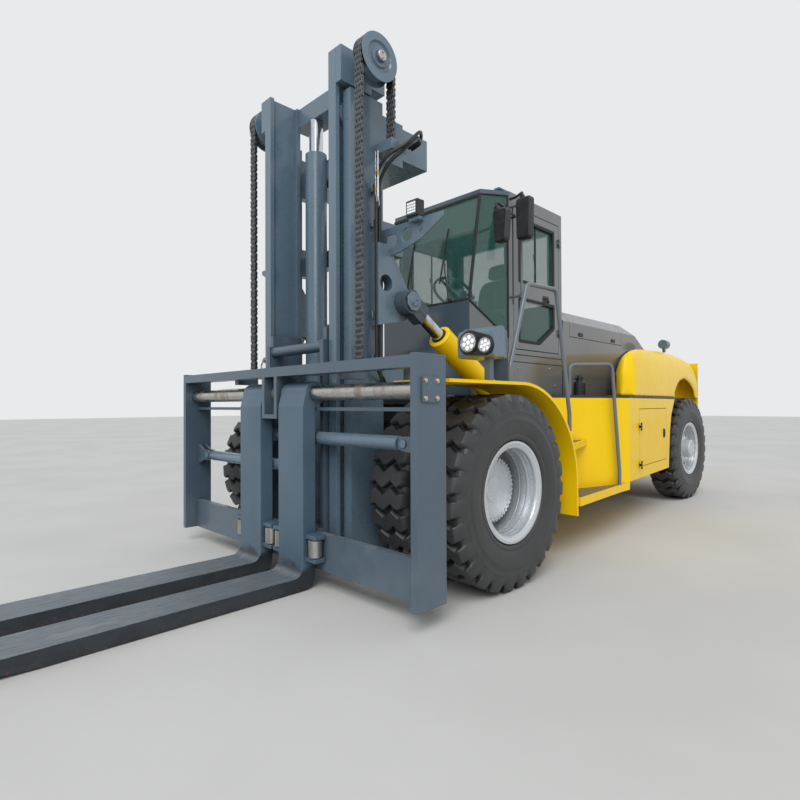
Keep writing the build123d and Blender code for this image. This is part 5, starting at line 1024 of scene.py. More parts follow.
@dataclass
class LeafChains:
    """Leaf chains from the carriage over the sheaves to the outer mast."""

    x: float = 718.0
    front_y: float = -764.0
    sheave_r: float = 154.0
    sheave_z: float = 3780.0
    low_z: float = 1548.0
    anchor_z: float = 3250.0
    pitch: float = 40.0
    width: float = 74.0
    slots: int = 9
    end_r: float = 15.6
    waist: float = 11.2
    filling: float = 0.94
    pin_r: float = 6.2
    pin_past: float = 4.0
    wrap_pins: int = 13

    @property
    def sheave_y(self) -> float:
        """Y of the sheaves' axis."""
        return self.front_y + self.sheave_r

    def plate(self, pitch: float) -> Shape:
        """One link plate: two round ends joined by a waist, carried across its thickness."""
        end_r, waist = self.end_r, self.waist
        upper = np.linspace(0.0, np.pi, 9)
        lower = upper + np.pi
        top = np.stack([end_r * np.cos(upper), pitch + end_r * np.sin(upper)], -1)
        bottom = np.stack([end_r * np.cos(lower), end_r * np.sin(lower)], -1)
        outline = np.concatenate([[(waist, pitch / 2)], top, [(-waist, pitch / 2)], bottom])
        thick = self.width / self.slots * self.filling
        return prism(outline, -thick / 2, thick / 2, 0.8)

    def links(self, y: np.ndarray, z: np.ndarray) -> Shape:
        """Plates and pins along the left chain's line of pin centres.

        Args:
            y: each pin's Y.
            z: each pin's Z.

        Returns:
            Between pins i and i+1 the plates fill every other slot across the chain, the even slots
            for even i and the odd ones for odd i.
        """
        pins = np.column_stack([np.full_like(z, self.x), y, z])
        step = pins[1:] - pins[:-1]
        frames = np.repeat(np.eye(4)[None], len(step), 0)
        frames[:, :3, 0] = np.cross(unit(step), LEFTWARD)
        frames[:, :3, 1] = unit(step)
        frames[:, :3, 2] = LEFTWARD
        frames[:, :3, 3] = pins[:-1]
        plate = self.plate(float(np.linalg.norm(step[0])))
        slot_x = (np.arange(self.slots) - (self.slots - 1) / 2) * self.width / self.slots
        parts = []
        for odd in (0, 1):
            for s in slot_x[odd::2]:
                moved = frames[odd::2].copy()
                moved[:, 0, 3] += s
                parts.append(plate.copies(moved))
        half = self.width / 2 + self.pin_past
        pin = prism(disc(self.pin_r, 10), -half, half, 1.2)
        return join(*parts, pin.spread(pins, LEFTWARD))

    def run(self, y: float, low_z: float) -> Shape:
        """Straight run of the left chain, from a height up to the sheave's axis."""
        z = np.linspace(low_z, self.sheave_z, int(round((self.sheave_z - low_z) / self.pitch)) + 1)
        return self.links(np.full_like(z, y), z)

    def wrap(self) -> Shape:
        """Half turn of the left chain over its sheave: pins at equal angles on the pitch circle."""
        a = np.linspace(np.pi, 0, self.wrap_pins)
        y, z = self.sheave_r * np.cos(a), self.sheave_r * np.sin(a)
        return self.links(self.sheave_y + y, self.sheave_z + z)

    def sheave(self) -> Shape:
        """Left sheave: a grooved rim, a recessed web and a hub, turned about the X axis."""
        profile = [(-52, 40), (-52, 167), (-50, 170), (-48, 170), (-45, 137), (45, 137), (48, 170), (50, 170),
                   (52, 167), (52, 112), (39, 103), (39, 76), (52, 70), (52, 40)]
        return lathe(profile, (self.x, self.sheave_y, self.sheave_z), segments=72, ring=True)

    def pin_cap(self) -> Shape:
        """Keeper plate and bolts on the end of the left sheave's pin."""
        x, y, z = self.x + 72, self.sheave_y, self.sheave_z
        cap = lathe([(-1, 37), (6, 37), (9, 33), (9, 2)], (x, y, z), segments=36)
        return join(cap, *(bolt(8).at((x + 9, y, z + way * 20), LEFTWARD) for way in (1, -1)))

    def build(self) -> None:
        """Front runs, rear runs, wraps and sheaves."""
        sheaves = make("sheaves", self.sheave().both(), Coat.SLATE, "inner_mast", slot="chain_steel")
        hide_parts("chain_sheaves")
        make("chain_wraps", self.wrap().both(), Coat.CHAIN, "inner_mast")
        make("sheave_pin_caps", self.pin_cap().both(), Coat.ZINC, "inner_mast", slot="chain_steel")
        front = make("chain_front", self.run(self.front_y, self.low_z).both(), Coat.CHAIN, "inner_mast")
        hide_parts("chain_front_runs")
        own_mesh(front)
        rear_y = self.front_y + 2 * self.sheave_r
        rear = make("chain_rear", self.run(rear_y, self.anchor_z).both(), Coat.CHAIN, "inner_mast")
        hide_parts("chain_rear_runs")


@dataclass
class MastFittings:
    """Hoses, clamps, bolts and lamps on the mast."""

    hose_x: float = 640.0
    hose_y: float = -500.0
    hose_r: float = 13.0
    pipe_y: float = -560.0
    tie_y: float = -290.0
    head_y: float = 95.0
    pin: Triple = (781.0, -284.0, 2073.0)
    lamp: Triple = (950.0, -481.0, 2684.0)
    cell_rows: int = 4
    cell_reach: float = 30.0
    cell_r: float = 8.2

    def side_hoses(self) -> Shape:
        """Two hoses that droop from the mast's head, run down its left side and bend back under the tilt
        plate."""
        x, y = self.hose_x, self.hose_y
        runs = []
        for shift, low in ((0.0, 1500.0), (34.0, 1560.0)):
            corners = [
                (609, -120 - shift, 3330), (720 + shift, -130 - shift, 3340),
                (840 + shift, -300, 3290 + shift), (835 + shift, y + 60, 3150 + shift),
                (740, y - shift, 3070 + shift), (x, y - shift, 2970 + shift), (x, y - shift, low),
                (x - 20, y + 70, low - 90), (560, y + 120, low - 110),
            ]
            runs.append(tube(bend(corners, 60), self.hose_r))
        return join(*runs)

    def clamps(self) -> Shape:
        """Small saddle plates that hold the hoses to the mast's side, each on a foot."""
        heights = (2900, 2640, 1960, 1640)
        saddle = prism(rounded(62, 84, 12), 0, 10, 2)
        foot = block(574, 616, self.hose_y - 40, self.hose_y + 6, 0, 30)
        return join(saddle.spread([(612, self.hose_y - 17, z) for z in heights], LEFTWARD, UPWARD),
                    foot.spread([(0, 0, z - 15) for z in heights], UPWARD))

    def lamp_glass(self) -> Shape:
        """Square lens of the left work lamp."""
        return prism(rounded(88, 90, 10), 0, 9, 3).at(self.lamp, FORWARD, LEFTWARD)

    def lamp_cells(self) -> Shape:
        """Sixteen bright cells behind the left work lamp's lens."""
        x, y, z = self.lamp
        reach, rows = self.cell_reach, self.cell_rows
        xs, zs = np.meshgrid(*(np.linspace(c - reach, c + reach, rows) for c in (x, z)))
        spots = np.column_stack([xs.ravel(), np.full(rows * rows, y - 1), zs.ravel()])
        return prism(disc(self.cell_r, 12), 0, 7, 2.0).spread(spots, FORWARD)

    def tie_bolts(self) -> Shape:
        """Bolts on the left ends of the mast's cross ties and crosshead."""
        ties = [(x, self.tie_y, z) for x in (300, 440) for z in (1460, 1550, 2550, 2640)]
        ties += [(x, self.tie_y, z) for x in (90, 250, 500) for z in (3290, 3430)]
        head = [(x, self.head_y, z) for x in (260, 480) for z in (3270, 3440)]
        return join(bolt(15).spread(head, REARWARD), bolt(15).spread(ties, FORWARD))

    def eye_cap(self) -> Shape:
        """Eight-sided cover plate on the left tilt pin, with its boss and two bolts."""
        x, y, z = self.pin
        plate = prism(disc(76, 8), 0, 9, 2.5).at(self.pin, LEFTWARD, (0, 0.924, 0.383))
        boss = lathe([(8, 40), (13, 40), (16, 36), (16, 2)], self.pin, segments=32)
        spots = [(x + 16, y + 18 * k, z + 12 * k) for k in (-1, 1)]
        return join(plate, boss, bolt(9).spread(spots, LEFTWARD))

    def hard_lines(self) -> Shape:
        """Two steel pipes up the mast's left side that hook back at their foot."""
        y = self.pipe_y
        paths = [[(x, y, 3150), (x, y, low), (x - 12, y + 25, low - 40), (616, y + 40, low - 60)]
                 for x, low in ((662.0, 2830.0), (688.0, 2800.0))]
        return join(*(tube(bend(path, 22), 6.5, 10) for path in paths))

    def pipe_nuts(self) -> Shape:
        """Brass unions on the pipes."""
        nut = join(prism(disc(11, 6), -13, 13, 2), prism(disc(9, 16), -22, 22, 2))
        return nut.spread([(x, self.pipe_y, z) for x, z in ((662, 3010), (688, 2990), (662, 2880))], UPWARD)

    def build(self) -> None:
        """Every fitting on the mast, both sides."""
        for name, shape, coat, slot in (
            ("mast_hoses", self.side_hoses(), Coat.HOSE, None),
            ("mast_hose_clamps", self.clamps(), Coat.SLATE, None),
            ("mast_bolts", self.tie_bolts(), Coat.SLATE, None),
            ("tilt_pin_caps", self.eye_cap(), Coat.SLATE, None),
            ("mast_pipes", self.hard_lines(), Coat.CHROME, "worn_steel"),
            ("mast_pipe_unions", self.pipe_nuts(), Coat.BRASS, None),
            ("work_lamp_lenses", self.lamp_glass(), Coat.LENS, None),
            ("work_lamp_cells", self.lamp_cells(), Coat.LED, None),
        ):
            make(name, shape.both(), coat, "outer_mast", slot=slot)


@dataclass
class CarriageFittings:
    """Cover bolts, positioner pin heads and roller sleeves of the carriage."""

    end_x: float = 1542.0
    cover_reach: float = 50.0
    shaft_y: float = -940.0
    shaft_z: float = 1381.0
    roller_r: float = 50.0
    roller_y: float = -985.3
    roller_gap: float = 8.0
    fork_x: tuple[float, float] = (127.0, 437.0)

    def cover_bolts(self) -> Shape:
        """Four bolts on the left end cover."""
        ways = (-self.cover_reach, self.cover_reach)
        spots = [(self.end_x, self.shaft_y + a, self.shaft_z + b) for a in ways for b in ways]
        return bolt(14).spread(spots, LEFTWARD)

    def fork_sleeves(self) -> Shape:
        """Worn steel sleeves on the two guide rollers beside the left fork."""
        profile = [(242, 46), (242, 48.5), (244, 50.2), (358, 50.2), (360, 48.5), (360, 46)]
        reach = self.roller_r + self.roller_gap
        spots = (self.fork_x[0] - reach, self.fork_x[1] + reach)
        return join(*(lathe(profile, (x, self.roller_y, 0), UPWARD, 40, ring=True) for x in spots))

    def pin_heads(self, z: float) -> Shape:
        """Retaining washers on a positioner's pin."""
        return lathe([(0, 26), (6, 26), (9, 22), (9, 4)], (1300, -926.2, z), FORWARD, 24)

    def build(self) -> None:
        """Every fitting on the carriage."""
        make("cover_bolts", self.cover_bolts().both(), Coat.ZINC, "carriage")
        heads = join(self.pin_heads(1060.0), self.pin_heads(830.0).mirrored())
        make("positioner_pin_heads", heads, Coat.SLATE, "carriage")
        for side in Side:
            make_on(side, "fork_roller_sleeves", self.fork_sleeves(), Coat.SHAFT, "fork")


@dataclass
class HeadLamps:
    """Twin round lamps in the pods on the front fenders, and the drum lamps on the rear fenders."""

    lamps: tuple[Triple, ...] = ((1269.0, 1723.0, 68.0), (1409.0, 1696.0, 52.0))
    panel_rim: float = 19.0
    circle: float = 0.56
    emitter: float = 0.24
    phase: float = 0.3
    drum: Triple = (950.0, 4380.0, 2090.0)

    def surround(self) -> Shape:
        """Black panel round both lamps: in each direction u, the farther of the points c + (r + rim) u."""
        u = disc(1.0, 56)
        centres = np.array([[x, z] for x, z, _ in self.lamps])
        reach = np.array([r + self.panel_rim for _, _, r in self.lamps])
        best = np.argmax(u @ centres.T + reach, axis=1)
        return on_front(prism(centres[best] + reach[best, None] * u, 239, 246, 3))

    def louvres(self) -> Shape:
        """Small slats between the two lamps."""
        return join(*(block(1332, 1362, -252, -244, 1675 + 13 * k, 1681 + 13 * k, 2) for k in range(7)))

    def ring(self, profile: Points, x: float, z: float) -> Shape:
        """Closed ring round a lamp's axis, its profile's distances measured ahead of the front axle."""
        return lathe(profile, (x, 0, z), FORWARD, 56, ring=True)

    def sleeve(self, x: float, z: float, r: float) -> Shape:
        """Black sleeve over a lamp's bezel."""
        profile = [(242, r + 8.6), (258, r + 8.8), (261, r + 6), (261, r + 1.5), (256, r), (250, r + 2)]
        return self.ring(profile, x, z)

    def mirror(self, x: float, z: float, r: float) -> Shape:
        """Bright ring and dished reflector inside a bezel."""
        ring = self.ring([(255, r - 0.5), (259, r - 2), (260, r - 6), (253, r - 10), (251.2, r - 1)], x, z)
        return join(ring, lathe([(251.1, r - 4), (252.4, r - 4), (252.4, 2)], (x, 0, z), FORWARD, 48))

    def cells(self, x: float, z: float, r: float) -> Shape:
        """Seven round emitters: one in the middle and six on a circle of a share of the lamp's radius."""
        front, circle = -252.3, self.circle * r
        spots = [(x, front, z)] + [(x + circle * math.cos(t), front, z + circle * math.sin(t))
                                   for t in np.arange(6) * np.pi / 3 + self.phase]
        return prism(disc(r * self.emitter, 20), 0, 4, 1.5).spread(spots, FORWARD)

    def cover(self, x: float, z: float, r: float) -> Shape:
        """Clear cover, slightly crowned."""
        return lathe([(257, r - 6.5), (259.5, r - 9), (261, r * 0.5), (261.4, 1)], (x, 0, z), FORWARD, 48)

    def drum_rims(self) -> Shape:
        """Rim on the rear end of the left drum lamp, and bands round its body."""
        profiles = [[(54, 59), (60, 59), (62, 55), (58, 52), (54, 52)]]
        profiles += [[(a, 58), (a + 1, 59.5), (a + 9, 59.5), (a + 10, 58)] for a in (-54, -20)]
        return join(*(lathe(profile, self.drum, REARWARD, 48, ring=True) for profile in profiles))

    def build(self) -> None:
        """Every lamp part, both sides."""
        panel = (self.surround(), self.louvres())
        lens = lathe([(55.2, 52), (58, 48), (60, 25), (60.4, 1)], self.drum, REARWARD, 40)
        for name, parts, coat in (
            ("headlamp_surrounds", (*panel, *(self.sleeve(*lamp) for lamp in self.lamps)), Coat.PLASTIC),
            ("headlamp_rings", (self.mirror(*lamp) for lamp in self.lamps), Coat.REFLECTOR),
            ("headlamp_cells", (self.cells(*lamp) for lamp in self.lamps), Coat.LED),
            ("headlamp_covers", (self.cover(*lamp) for lamp in self.lamps), Coat.LENS),
            ("drum_lamp_rims", (self.drum_rims(),), Coat.SLATE),
            ("drum_lamp_lenses", (lens,), Coat.LENS),
        ):
            make(name, join(*parts).both(), coat, "chassis")


@dataclass
class Mirrors:
    """Mirror glass and mounts of the left pair, mirrored to the right."""

    frame: float = 12.0
    heads: tuple = (
        ((950, 2640), (1070, 2640), (1090, 2920), (930, 2920), 560.0),
        ((908, 2760), (1050, 2760), (1060, 3130), (900, 3130), 960.0),
    )

    def glass(self) -> Shape:
        """Reflecting plates on the housings' rear faces, inside their outlines by the frame's width."""
        return join(*(on_front(pressed(inset(corners, self.frame), 30, -y - 1.6, -y + 0.4, 0.5))
                      for *corners, y in self.heads))

    def clamps(self) -> Shape:
        """Clamps that hold the arms behind the housings."""
        return join(block(944, 980, 512, 548, 2916, 2950, 5), block(940, 976, 912, 948, 3126, 3160, 5))

    def build(self) -> None:
        """Both sides."""
        make("mirror_glass", self.glass().both(), Coat.MIRROR, "chassis")
        make("mirror_clamps", self.clamps().both(), Coat.PLASTIC, "chassis")


@dataclass
class CabDoor:
    """Panes, seals and latch of one cab door."""

    side: Side
    upper: tuple = tuple(oblong(1240, 1900, 2480, 3090))
    lower: tuple = ((1240, 1900), (1610, 1900), (1900, 2080), (1900, 2320), (1240, 2320))
    gap: float = 0.5
    lap: float = 10.0
    seal_width: float = 30.0

    def panes(self) -> Shape:
        """Upper and lower panes, a small gap inside their openings."""
        return join(*(on_flank(prism(inset(o, self.gap), 692, 698, 0.5)) for o in (self.upper, self.lower)))

    def seals(self) -> Shape:
        """Rubber seals that lap over the openings' edges, and the sliding pane's upright with its catch."""
        rims = [on_flank(hoop(softened(inset(o, -self.lap), 24), self.seal_width, 714, 722.5))
                for o in (self.upper, self.lower)]
        upright = block(688, 704, 1562, 1580, 2481, 3089, 3)
        return join(*rims, upright, block(698, 706, 1540, 1562, 2740, 2800, 3))

    def latch(self) -> Shape:
        """Square latch plate with its pull handle, and a small keeper at the rear edge."""
        plate = on_flank(pressed(oblong(1676, 1786, 2310, 2398), 14, 719, 727, 3))
        path = bend([(727, 1700, 2370), (746, 1704, 2368), (746, 1762, 2340), (727, 1766, 2338)], 8)
        keeper = lathe([(0, 9), (4, 9), (5, 6), (5, 1)], (727, 1758, 2380), segments=16)
        return join(plate, tube(path, 6, 8), keeper)

    def build(self) -> None:
        """All of one door's fittings."""
        make_on(self.side, "door_panes", self.panes(), Coat.GLASS, "cab_door")
        make_on(self.side, "door_seals", self.seals(), Coat.SEAL, "cab_door")
        make_on(self.side, "door_latch", self.latch(), Coat.PLASTIC, "cab_door")


@dataclass
class CabTrim:
    """Window seals, wipers, lining and bolts of the cab."""

    screen_foot: Triple = (0.0, 675.0, 2243.5)
    screen_out: Triple = (0.0, -0.98671, 0.16251)
    screen_half: float = 563.0
    screen_length: float = 1030.0

    def screen(self, shape: Shape) -> Shape:
        """Shape drawn over (x, distance up the windscreen), stood on the windscreen's outer face."""
        return shape.at(self.screen_foot, self.screen_out, LEFTWARD)

    def seals(self) -> Shape:
        """Seals round the windscreen and along the corner panes' edges."""
        rim = softened(oblong(-self.screen_half, self.screen_half, 2, self.screen_length - 6), 30)
        left = join(*(tube(ends, radius, 8) for *ends, radius in (
            ((566, 672, 2238), (566, 840, 3258), 10),
            ((570, 676, 2236), (712, 1056, 1920), 9),
            ((570, 846, 3254), (712, 1056, 3254), 7),
            ((716, 1062, 1925), (716, 1062, 3254), 9),
        )))
        return join(self.screen(hoop(rim, 20, 0.4, 6)), left.both())

    def wipers(self) -> Shape:
        """Two wiper arms with their blades, parked up the windscreen."""
        arm = tube([(0, 0, 10), (0, 0, 22), (-90, 300, 18), (-130, 470, 12)], 6, 8)
        blade = carry(rounded(10, 14, 3, 2), [(-150, 190, 7), (-130, 470, 8), (-112, 740, 7)])
        one = join(arm, blade, prism(disc(22, 20), 0, 16, 4))
        return self.screen(join(*(one.at((x, 26, 0)) for x in (330, -110))))

    def strip(self) -> Shape:
        """Green sun strip inside the windscreen's head."""
        return self.screen(prism(oblong(-545, 545, 700, 1012), -17.5, -14.5))

    def ceiling(self) -> Shape:
        """Dark headlining and rear pillar pads."""
        return join(
            block(-640, 640, 1000, 1990, 3236, 3258, 8), block(-660, -600, 1960, 2008, 1830, 3230, 10),
            block(600, 660, 1960, 2008, 1830, 3230, 10), block(-600, 600, 1992, 2008, 1830, 2350, 6))

    def base_bolts(self) -> Shape:
        """Bolts on the left flank below the door."""
        spots = [(720, y, z) for y, z in ((1216, 1640), (1800, 1662), (1910, 1488), (1300, 1488))]
        return bolt(9).spread(spots, LEFTWARD)

    def seam(self) -> Shape:
        """Raised seam where the cab sits on its base, and a thin one below it."""
        return join(block(716, 724, 1075, 2058, 1768, 1776, 3), block(716, 724, 1075, 2058, 1700, 1706, 2))

    def build(self) -> None:
        """Everything fixed to the cab."""
        for name, shape, coat in (
            ("screen_seals", self.seals(), Coat.SEAL),
            ("wipers", self.wipers(), Coat.PLASTIC),
            ("sun_strip", self.strip(), Coat.TINT),
            ("cab_lining", self.ceiling(), Coat.LINING),
            ("cab_base_bolts", self.base_bolts().both(), Coat.ZINC),
            ("cab_seams", self.seam().both(), Coat.SEAL),
        ):
            make(name, shape, coat, "chassis")


@dataclass
class CabInterior:
    """Seat, console and steering wheel."""

    wheel: Triple = (0.0, 1120.0, 2458.0)
    wheel_axis: Triple = (0.0, 220.0, 308.0)
    wheel_r: float = 210.0
    grip_r: float = 15.0
    lean: float = 0.14
    dip: float = 14.0
    seat_z: float = 2050.0

    def cushion(self) -> Shape:
        """Seat cushion: a squarish swollen pad whose top dips in the middle by a cosine."""
        width = 500
        pad = swollen((width, width, 130), (0, 1600, self.seat_z), 4.5)
        x, _, z = pad.points.T
        pad.points[:, 2] -= self.dip * np.cos(np.clip(x / (width / 2), -1, 1) * np.pi / 2) * (z > self.seat_z)
        return pad

    def back(self) -> Shape:
        """Backrest and headrest, leaning back by a share of their height."""
        rest = swollen((480, 130, 620), (0, 1850, 2400), 4.5)
        pads = join(rest, swollen((270, 100, 170), (0, 1858, 2810), 4.0))
        pads.points[:, 1] += (pads.points[:, 2] - 2100) * self.lean
        return pads

    def console(self) -> Shape:
        """Console under the windscreen, column, display, armrest, seat base and bellows, lever and pedals."""
        outline = [(735, 1822), (900, 1822), (975, 2235), (905, 2298), (735, 2222)]
        folds = [(1868, 120), *((1866 + 10 * k, 150 if k % 2 else 120) for k in range(1, 7)), (1934, 140)]
        return join(
            on_flank(pressed(outline, 26, -328, 328, 8)),
            tube(bend([(0, 880, 2120), (0, 960, 2235), (0, 1112, 2446)], 60), 34, 20),
            block(190, 320, 925, 950, 2290, 2400, 8), block(270, 370, 1420, 1780, 2230, 2280, 14),
            block(-170, 170, 1440, 1760, 1821, 1870, 10), block(-190, 190, 1420, 1780, 1930, 1985, 12),
            lathe(folds, (0, 1600, 0), UPWARD, 28), tube([(310, 1440, 2275), (305, 1430, 2400)], 9, 8),
            lathe([(0, 10), (8, 20), (24, 22), (38, 16), (42, 4)], (305, 1430, 2396), UPWARD, 16),
            *(block(x, x + 70, 1000, 1030, 1850, 1960, 6) for x in (-180, 90)))

    def steering(self) -> Shape:
        """Steering wheel: a round ring on a larger circle, three spokes, a hub and a spinner."""
        a = np.linspace(0, 2 * np.pi, 12, endpoint=False)
        profile = np.column_stack([self.grip_r * np.sin(a), self.wheel_r + self.grip_r * np.cos(a)])
        ring = lathe(profile, self.wheel, self.wheel_axis, 56, ring=True)
        spoke = carry(rounded(26, 10, 4, 2), [(40, 0, 0), (120, 0, -4), (204, 0, 0)], UPWARD)
        knob = lathe([(10, 8), (22, 9), (26, 22), (42, 24), (52, 14), (54, 2)], ORIGIN, UPWARD, 20)
        spokes = spoke.copies(turned(3, ORIGIN, 2, 0.4))
        inner = (prism(disc(48, 28), -15, 17, 6), spokes, knob.at((148, 148, 6)))
        return join(ring, *(part.at(self.wheel, self.wheel_axis) for part in inner))

    def build(self) -> None:
        """Seat, console and wheel in place of the plain interior."""
        cushion = make("seat_cushion", self.cushion(), Coat.SEAT, "chassis", 60)
        back = make("seat_back", self.back(), Coat.SEAT, "chassis", 60)
        console = make("cab_console", self.console(), Coat.LINING, "chassis")
        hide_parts("cab_interior")
        make("steering_wheel", self.steering(), Coat.PLASTIC, "chassis")


@dataclass
class BodyTrim:
    """Hinges, latches, step sheets, filter and painted fender shadows of the body's flanks."""

    fold: tuple[float, float] = (1365.0, 2220.0)
    along: tuple[float, float] = (-0.10052, 0.99494)
    out: Triple = (0.99494, 0.10052, 0.0)
    hinge_y: float = 2557.0
    hinge_z: tuple[float, float] = (700.0, 1100.0)
    hinge_length: float = 84.0
    step_z: tuple[float, float] = (510.0, 960.0)
    deck_z: float = 1380.0
    gap: float = 0.1

    def panel(self, y: float, stand_off: float) -> tuple[float, float]:
        """Plan point on the left side box's rear panel at a Y, standing off its face."""
        s = (y - self.fold[1]) / self.along[1]
        return (self.fold[0] + self.along[0] * s + self.out[0] * stand_off, y + self.out[1] * stand_off)

    def sleeves(self, shares: Points) -> list[Shape]:
        """Black sleeves over parts of both box hinges' knuckles, each part given from and to a share of the
        hinge's length below its top."""
        spot = self.panel(self.hinge_y, 16.0)
        rings = [[(-self.hinge_length * s, r) for s, r in ((b, 12.0), (b, 13.5), (a, 13.5), (a, 12.0))]
                 for a, b in shares]
        return [lathe(ring, (*spot, z), UPWARD, 24, ring=True) for z in self.hinge_z for ring in rings]

    def leaves(self, way: float) -> list[Shape]:
        """Black leaves of the box hinges, ahead of the pin line for -1 and behind it for 1."""
        spot = self.panel(self.hinge_y + way * 17, 0.4)
        leaf = pressed(oblong(-38, 38, -10, 10), 6, 0, 5, 1.5)
        return [leaf.at((*spot, z - self.hinge_length / 2), self.out, UPWARD) for z in self.hinge_z]

    def latch(self) -> Shape:
        """Oval black latch near the door's rear edge."""
        cup = join(prism(rounded(112, 62, 28), 0, 7, 2), prism(rounded(78, 22, 9), 6, 15, 3))
        return cup.at((*self.panel(3540.0, 0.2), 950), self.out, UPWARD)

    def steps(self) -> Shape:
        """Anti-slip sheets on the two left steps."""
        low = [(1052, 1078), (1418, 1073), (1354, 1990), (1352, 2080)]
        high = [(1050, 1076), (1340, 1072), (1198, 1548)]
        return join(*(pressed(corners, 14, z + self.gap, z + 3, 0.8)
                      for corners, z in zip((low, high), self.step_z)))

    def deck_sheet(self) -> Shape:
        """Anti-slip sheet on the left deck between the cab, the hood and the fender's nose."""
        outline = [(745, 1085), (985, 1075), (1335, 2200), (1235, 2260), (1130, 2350), (760, 3180)]
        return pressed(outline, 18, self.deck_z + self.gap, self.deck_z + 2, 0.5)

    def filter_bottle(self) -> Shape:
        """Breather filter on the left deck: ribbed bowl, head and elbow."""
        bowl = [(1381, 52), (1386, 60), (1420, 61), (1424, 57), (1428, 61), (1464, 61), (1468, 57),
                (1472, 61), (1520, 60), (1536, 48), (1542, 36), (1560, 34), (1566, 40), (1580, 40),
                (1586, 30), (1606, 26), (1612, 10)]
        elbow = tube(bend([(850, 2190, 1575), (850, 2130, 1600), (850, 2105, 1560)], 20), 12, 10)
        return join(lathe(bowl, (850, 2190, 0), UPWARD, 36), elbow)

    def fender_gap_shadow(self) -> Shape:
        """Dark strip along the front edge of the left rear fender, up to the hood: painted shadow of the gap
        between fender and hood.
        """
        path = [(1152, 2372, 1384), (1152, 2372, 1596), (952, 2828, 1612), (738, 3320, 1625),
                (738, 3470, 1850), (738, 3760, 1966), (738, 4300, 1988)]
        return tube(bend(path, 40), 11, 10)

    def lid_pulls(self) -> Shape:
        """Two rubber-faced pulls at the lower edge of the left lid, flush with the hood's flank."""
        return join(*(on_flank(pressed(oblong(y - 50, y + 50, 2052, 2092), 12, 719.6, 729, 3))
                      for y in (2480.0, 3320.0)))

    def build(self) -> None:
        """Both sides; the latch and the middle knuckles ride the box door, the pulls ride the lid."""
        fixed = join(*self.sleeves(((0.0, 0.32), (0.68, 1.0))), *self.leaves(-1))
        make("box_hinge_covers", fixed.both(), Coat.PLASTIC, "chassis")
        moving = join(*self.sleeves(((0.35, 0.65),)), *self.leaves(1), self.latch())
        for side in Side:
            make_on(side, "box_door_latch", moving, Coat.PLASTIC, "box_door")
            make_on(side, "lid_pulls", self.lid_pulls(), Coat.PLASTIC, "hood_lid")
        make("step_sheets", self.steps().both(), Coat.GRIP, "chassis")
        make("deck_sheets", self.deck_sheet().both(), Coat.MESH, "chassis")
        make("filter_bottle", self.filter_bottle(), Coat.PLASTIC, "chassis")
        # dark strips painted as the shadow in the gap between the rear fenders and the hood
        make("fender_gap_shadows", self.fender_gap_shadow().both(), Coat.SEAL, "chassis")


@dataclass
class PressedFenders:
    """Rear fenders whose folded edges are pressed round, in place of the plain solids."""

    voxel: float = 0.018
    rounds: int = 36
    low_z: float = 1400.0
    inner_x: float = 738.0
    rear_y: float = 5655.0
    fade: float = 60.0

    def skin(self) -> tuple[Shape, np.ndarray]:
        """Even net over the fenders' solids, and the two points of each of its edges."""
        source = FRAME["nodes"]["rear_fenders"]
        work = stand("fender_work", source.data.copy())
        work.matrix_world = source.matrix_world.copy()
        net = work.modifiers.new("net", "REMESH")
        net.mode = "VOXEL"
        net.voxel_size = self.voxel
        done = work.evaluated_get(bpy.context.evaluated_depsgraph_get())
        mesh = done.to_mesh()
        points = np.empty(len(mesh.vertices) * 3)
        loops, sizes, edges = (np.empty(n, np.int32) for n in
                               (len(mesh.loops), len(mesh.polygons), len(mesh.edges) * 2))
        mesh.vertices.foreach_get("co", points)
        mesh.loops.foreach_get("vertex_index", loops)
        mesh.polygons.foreach_get("loop_total", sizes)
        mesh.edges.foreach_get("vertices", edges)
        done.to_mesh_clear()
        shape = Shape(points.reshape(-1, 3), loops, sizes).placed(np.array(work.matrix_world))
        shape.points = shape.points * MM_PER_M + (0, AXLE_TO_MIDDLE, 0)
        old = work.data
        bpy.data.objects.remove(work)
        bpy.data.meshes.remove(old)
        return shape, edges.reshape(-1, 2)

    def shape(self) -> Shape:
        """The net, each of whose points goes half way to the mean of its neighbours, round after round,
        by a share that falls to nothing at the fenders' foot, inner face and rear face."""
        net, edges = self.skin()
        p, (a, b) = net.points, edges.T
        count = np.bincount(edges.ravel(), minlength=len(p))[:, None]
        room = np.min([p[:, 2] - self.low_z, np.abs(p[:, 0]) - self.inner_x, self.rear_y - p[:, 1]], axis=0)
        share = 0.5 * np.clip(room / self.fade, 0, 1)[:, None]
        for _ in range(self.rounds):
            total = np.stack([np.bincount(a, q[b], len(p)) + np.bincount(b, q[a], len(p)) for q in p.T], -1)
            p = p + share * (total / count - p)
        return Shape(p, net.loops, net.sizes)

    def build(self) -> None:
        """Both fenders as one piece."""
        piece = make("pressed_fenders", self.shape(), Coat.YELLOW, "chassis", 60)
        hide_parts("rear_fenders")


@dataclass
class RearTrim:
    """Tail lamps, and a dark sheet of painted shade behind the grille, on the counterweight."""

    face: float = 6060.0
    grille_back: float = 6032.0

    def lamps(self, z0: float, z1: float) -> Shape:
        """Rounded lamp blocks at the left of the rear face."""
        return on_front(pressed(oblong(590, 760, z0, z1), 14, -self.face - 12, -self.face + 1, 4))

    def build(self) -> None:
        """Everything on the rear face, and the dark sheet behind the grille's slats, painted shade of the
        space behind them.
        """
        make("tail_lamps", self.lamps(1560, 1640).both(), Coat.RED, "chassis")
        make("rear_indicators", self.lamps(1470, 1550).both(), Coat.AMBER, "chassis")
        # painted shade: a dark sheet where the space behind the slats lies in shade
        shade_sheet = prism(oblong(-428, 428, 1162, 1654), -self.grille_back, -self.grille_back + 1.8)
        make("grille_shade_sheet", on_front(shade_sheet), Coat.MESH, "chassis")


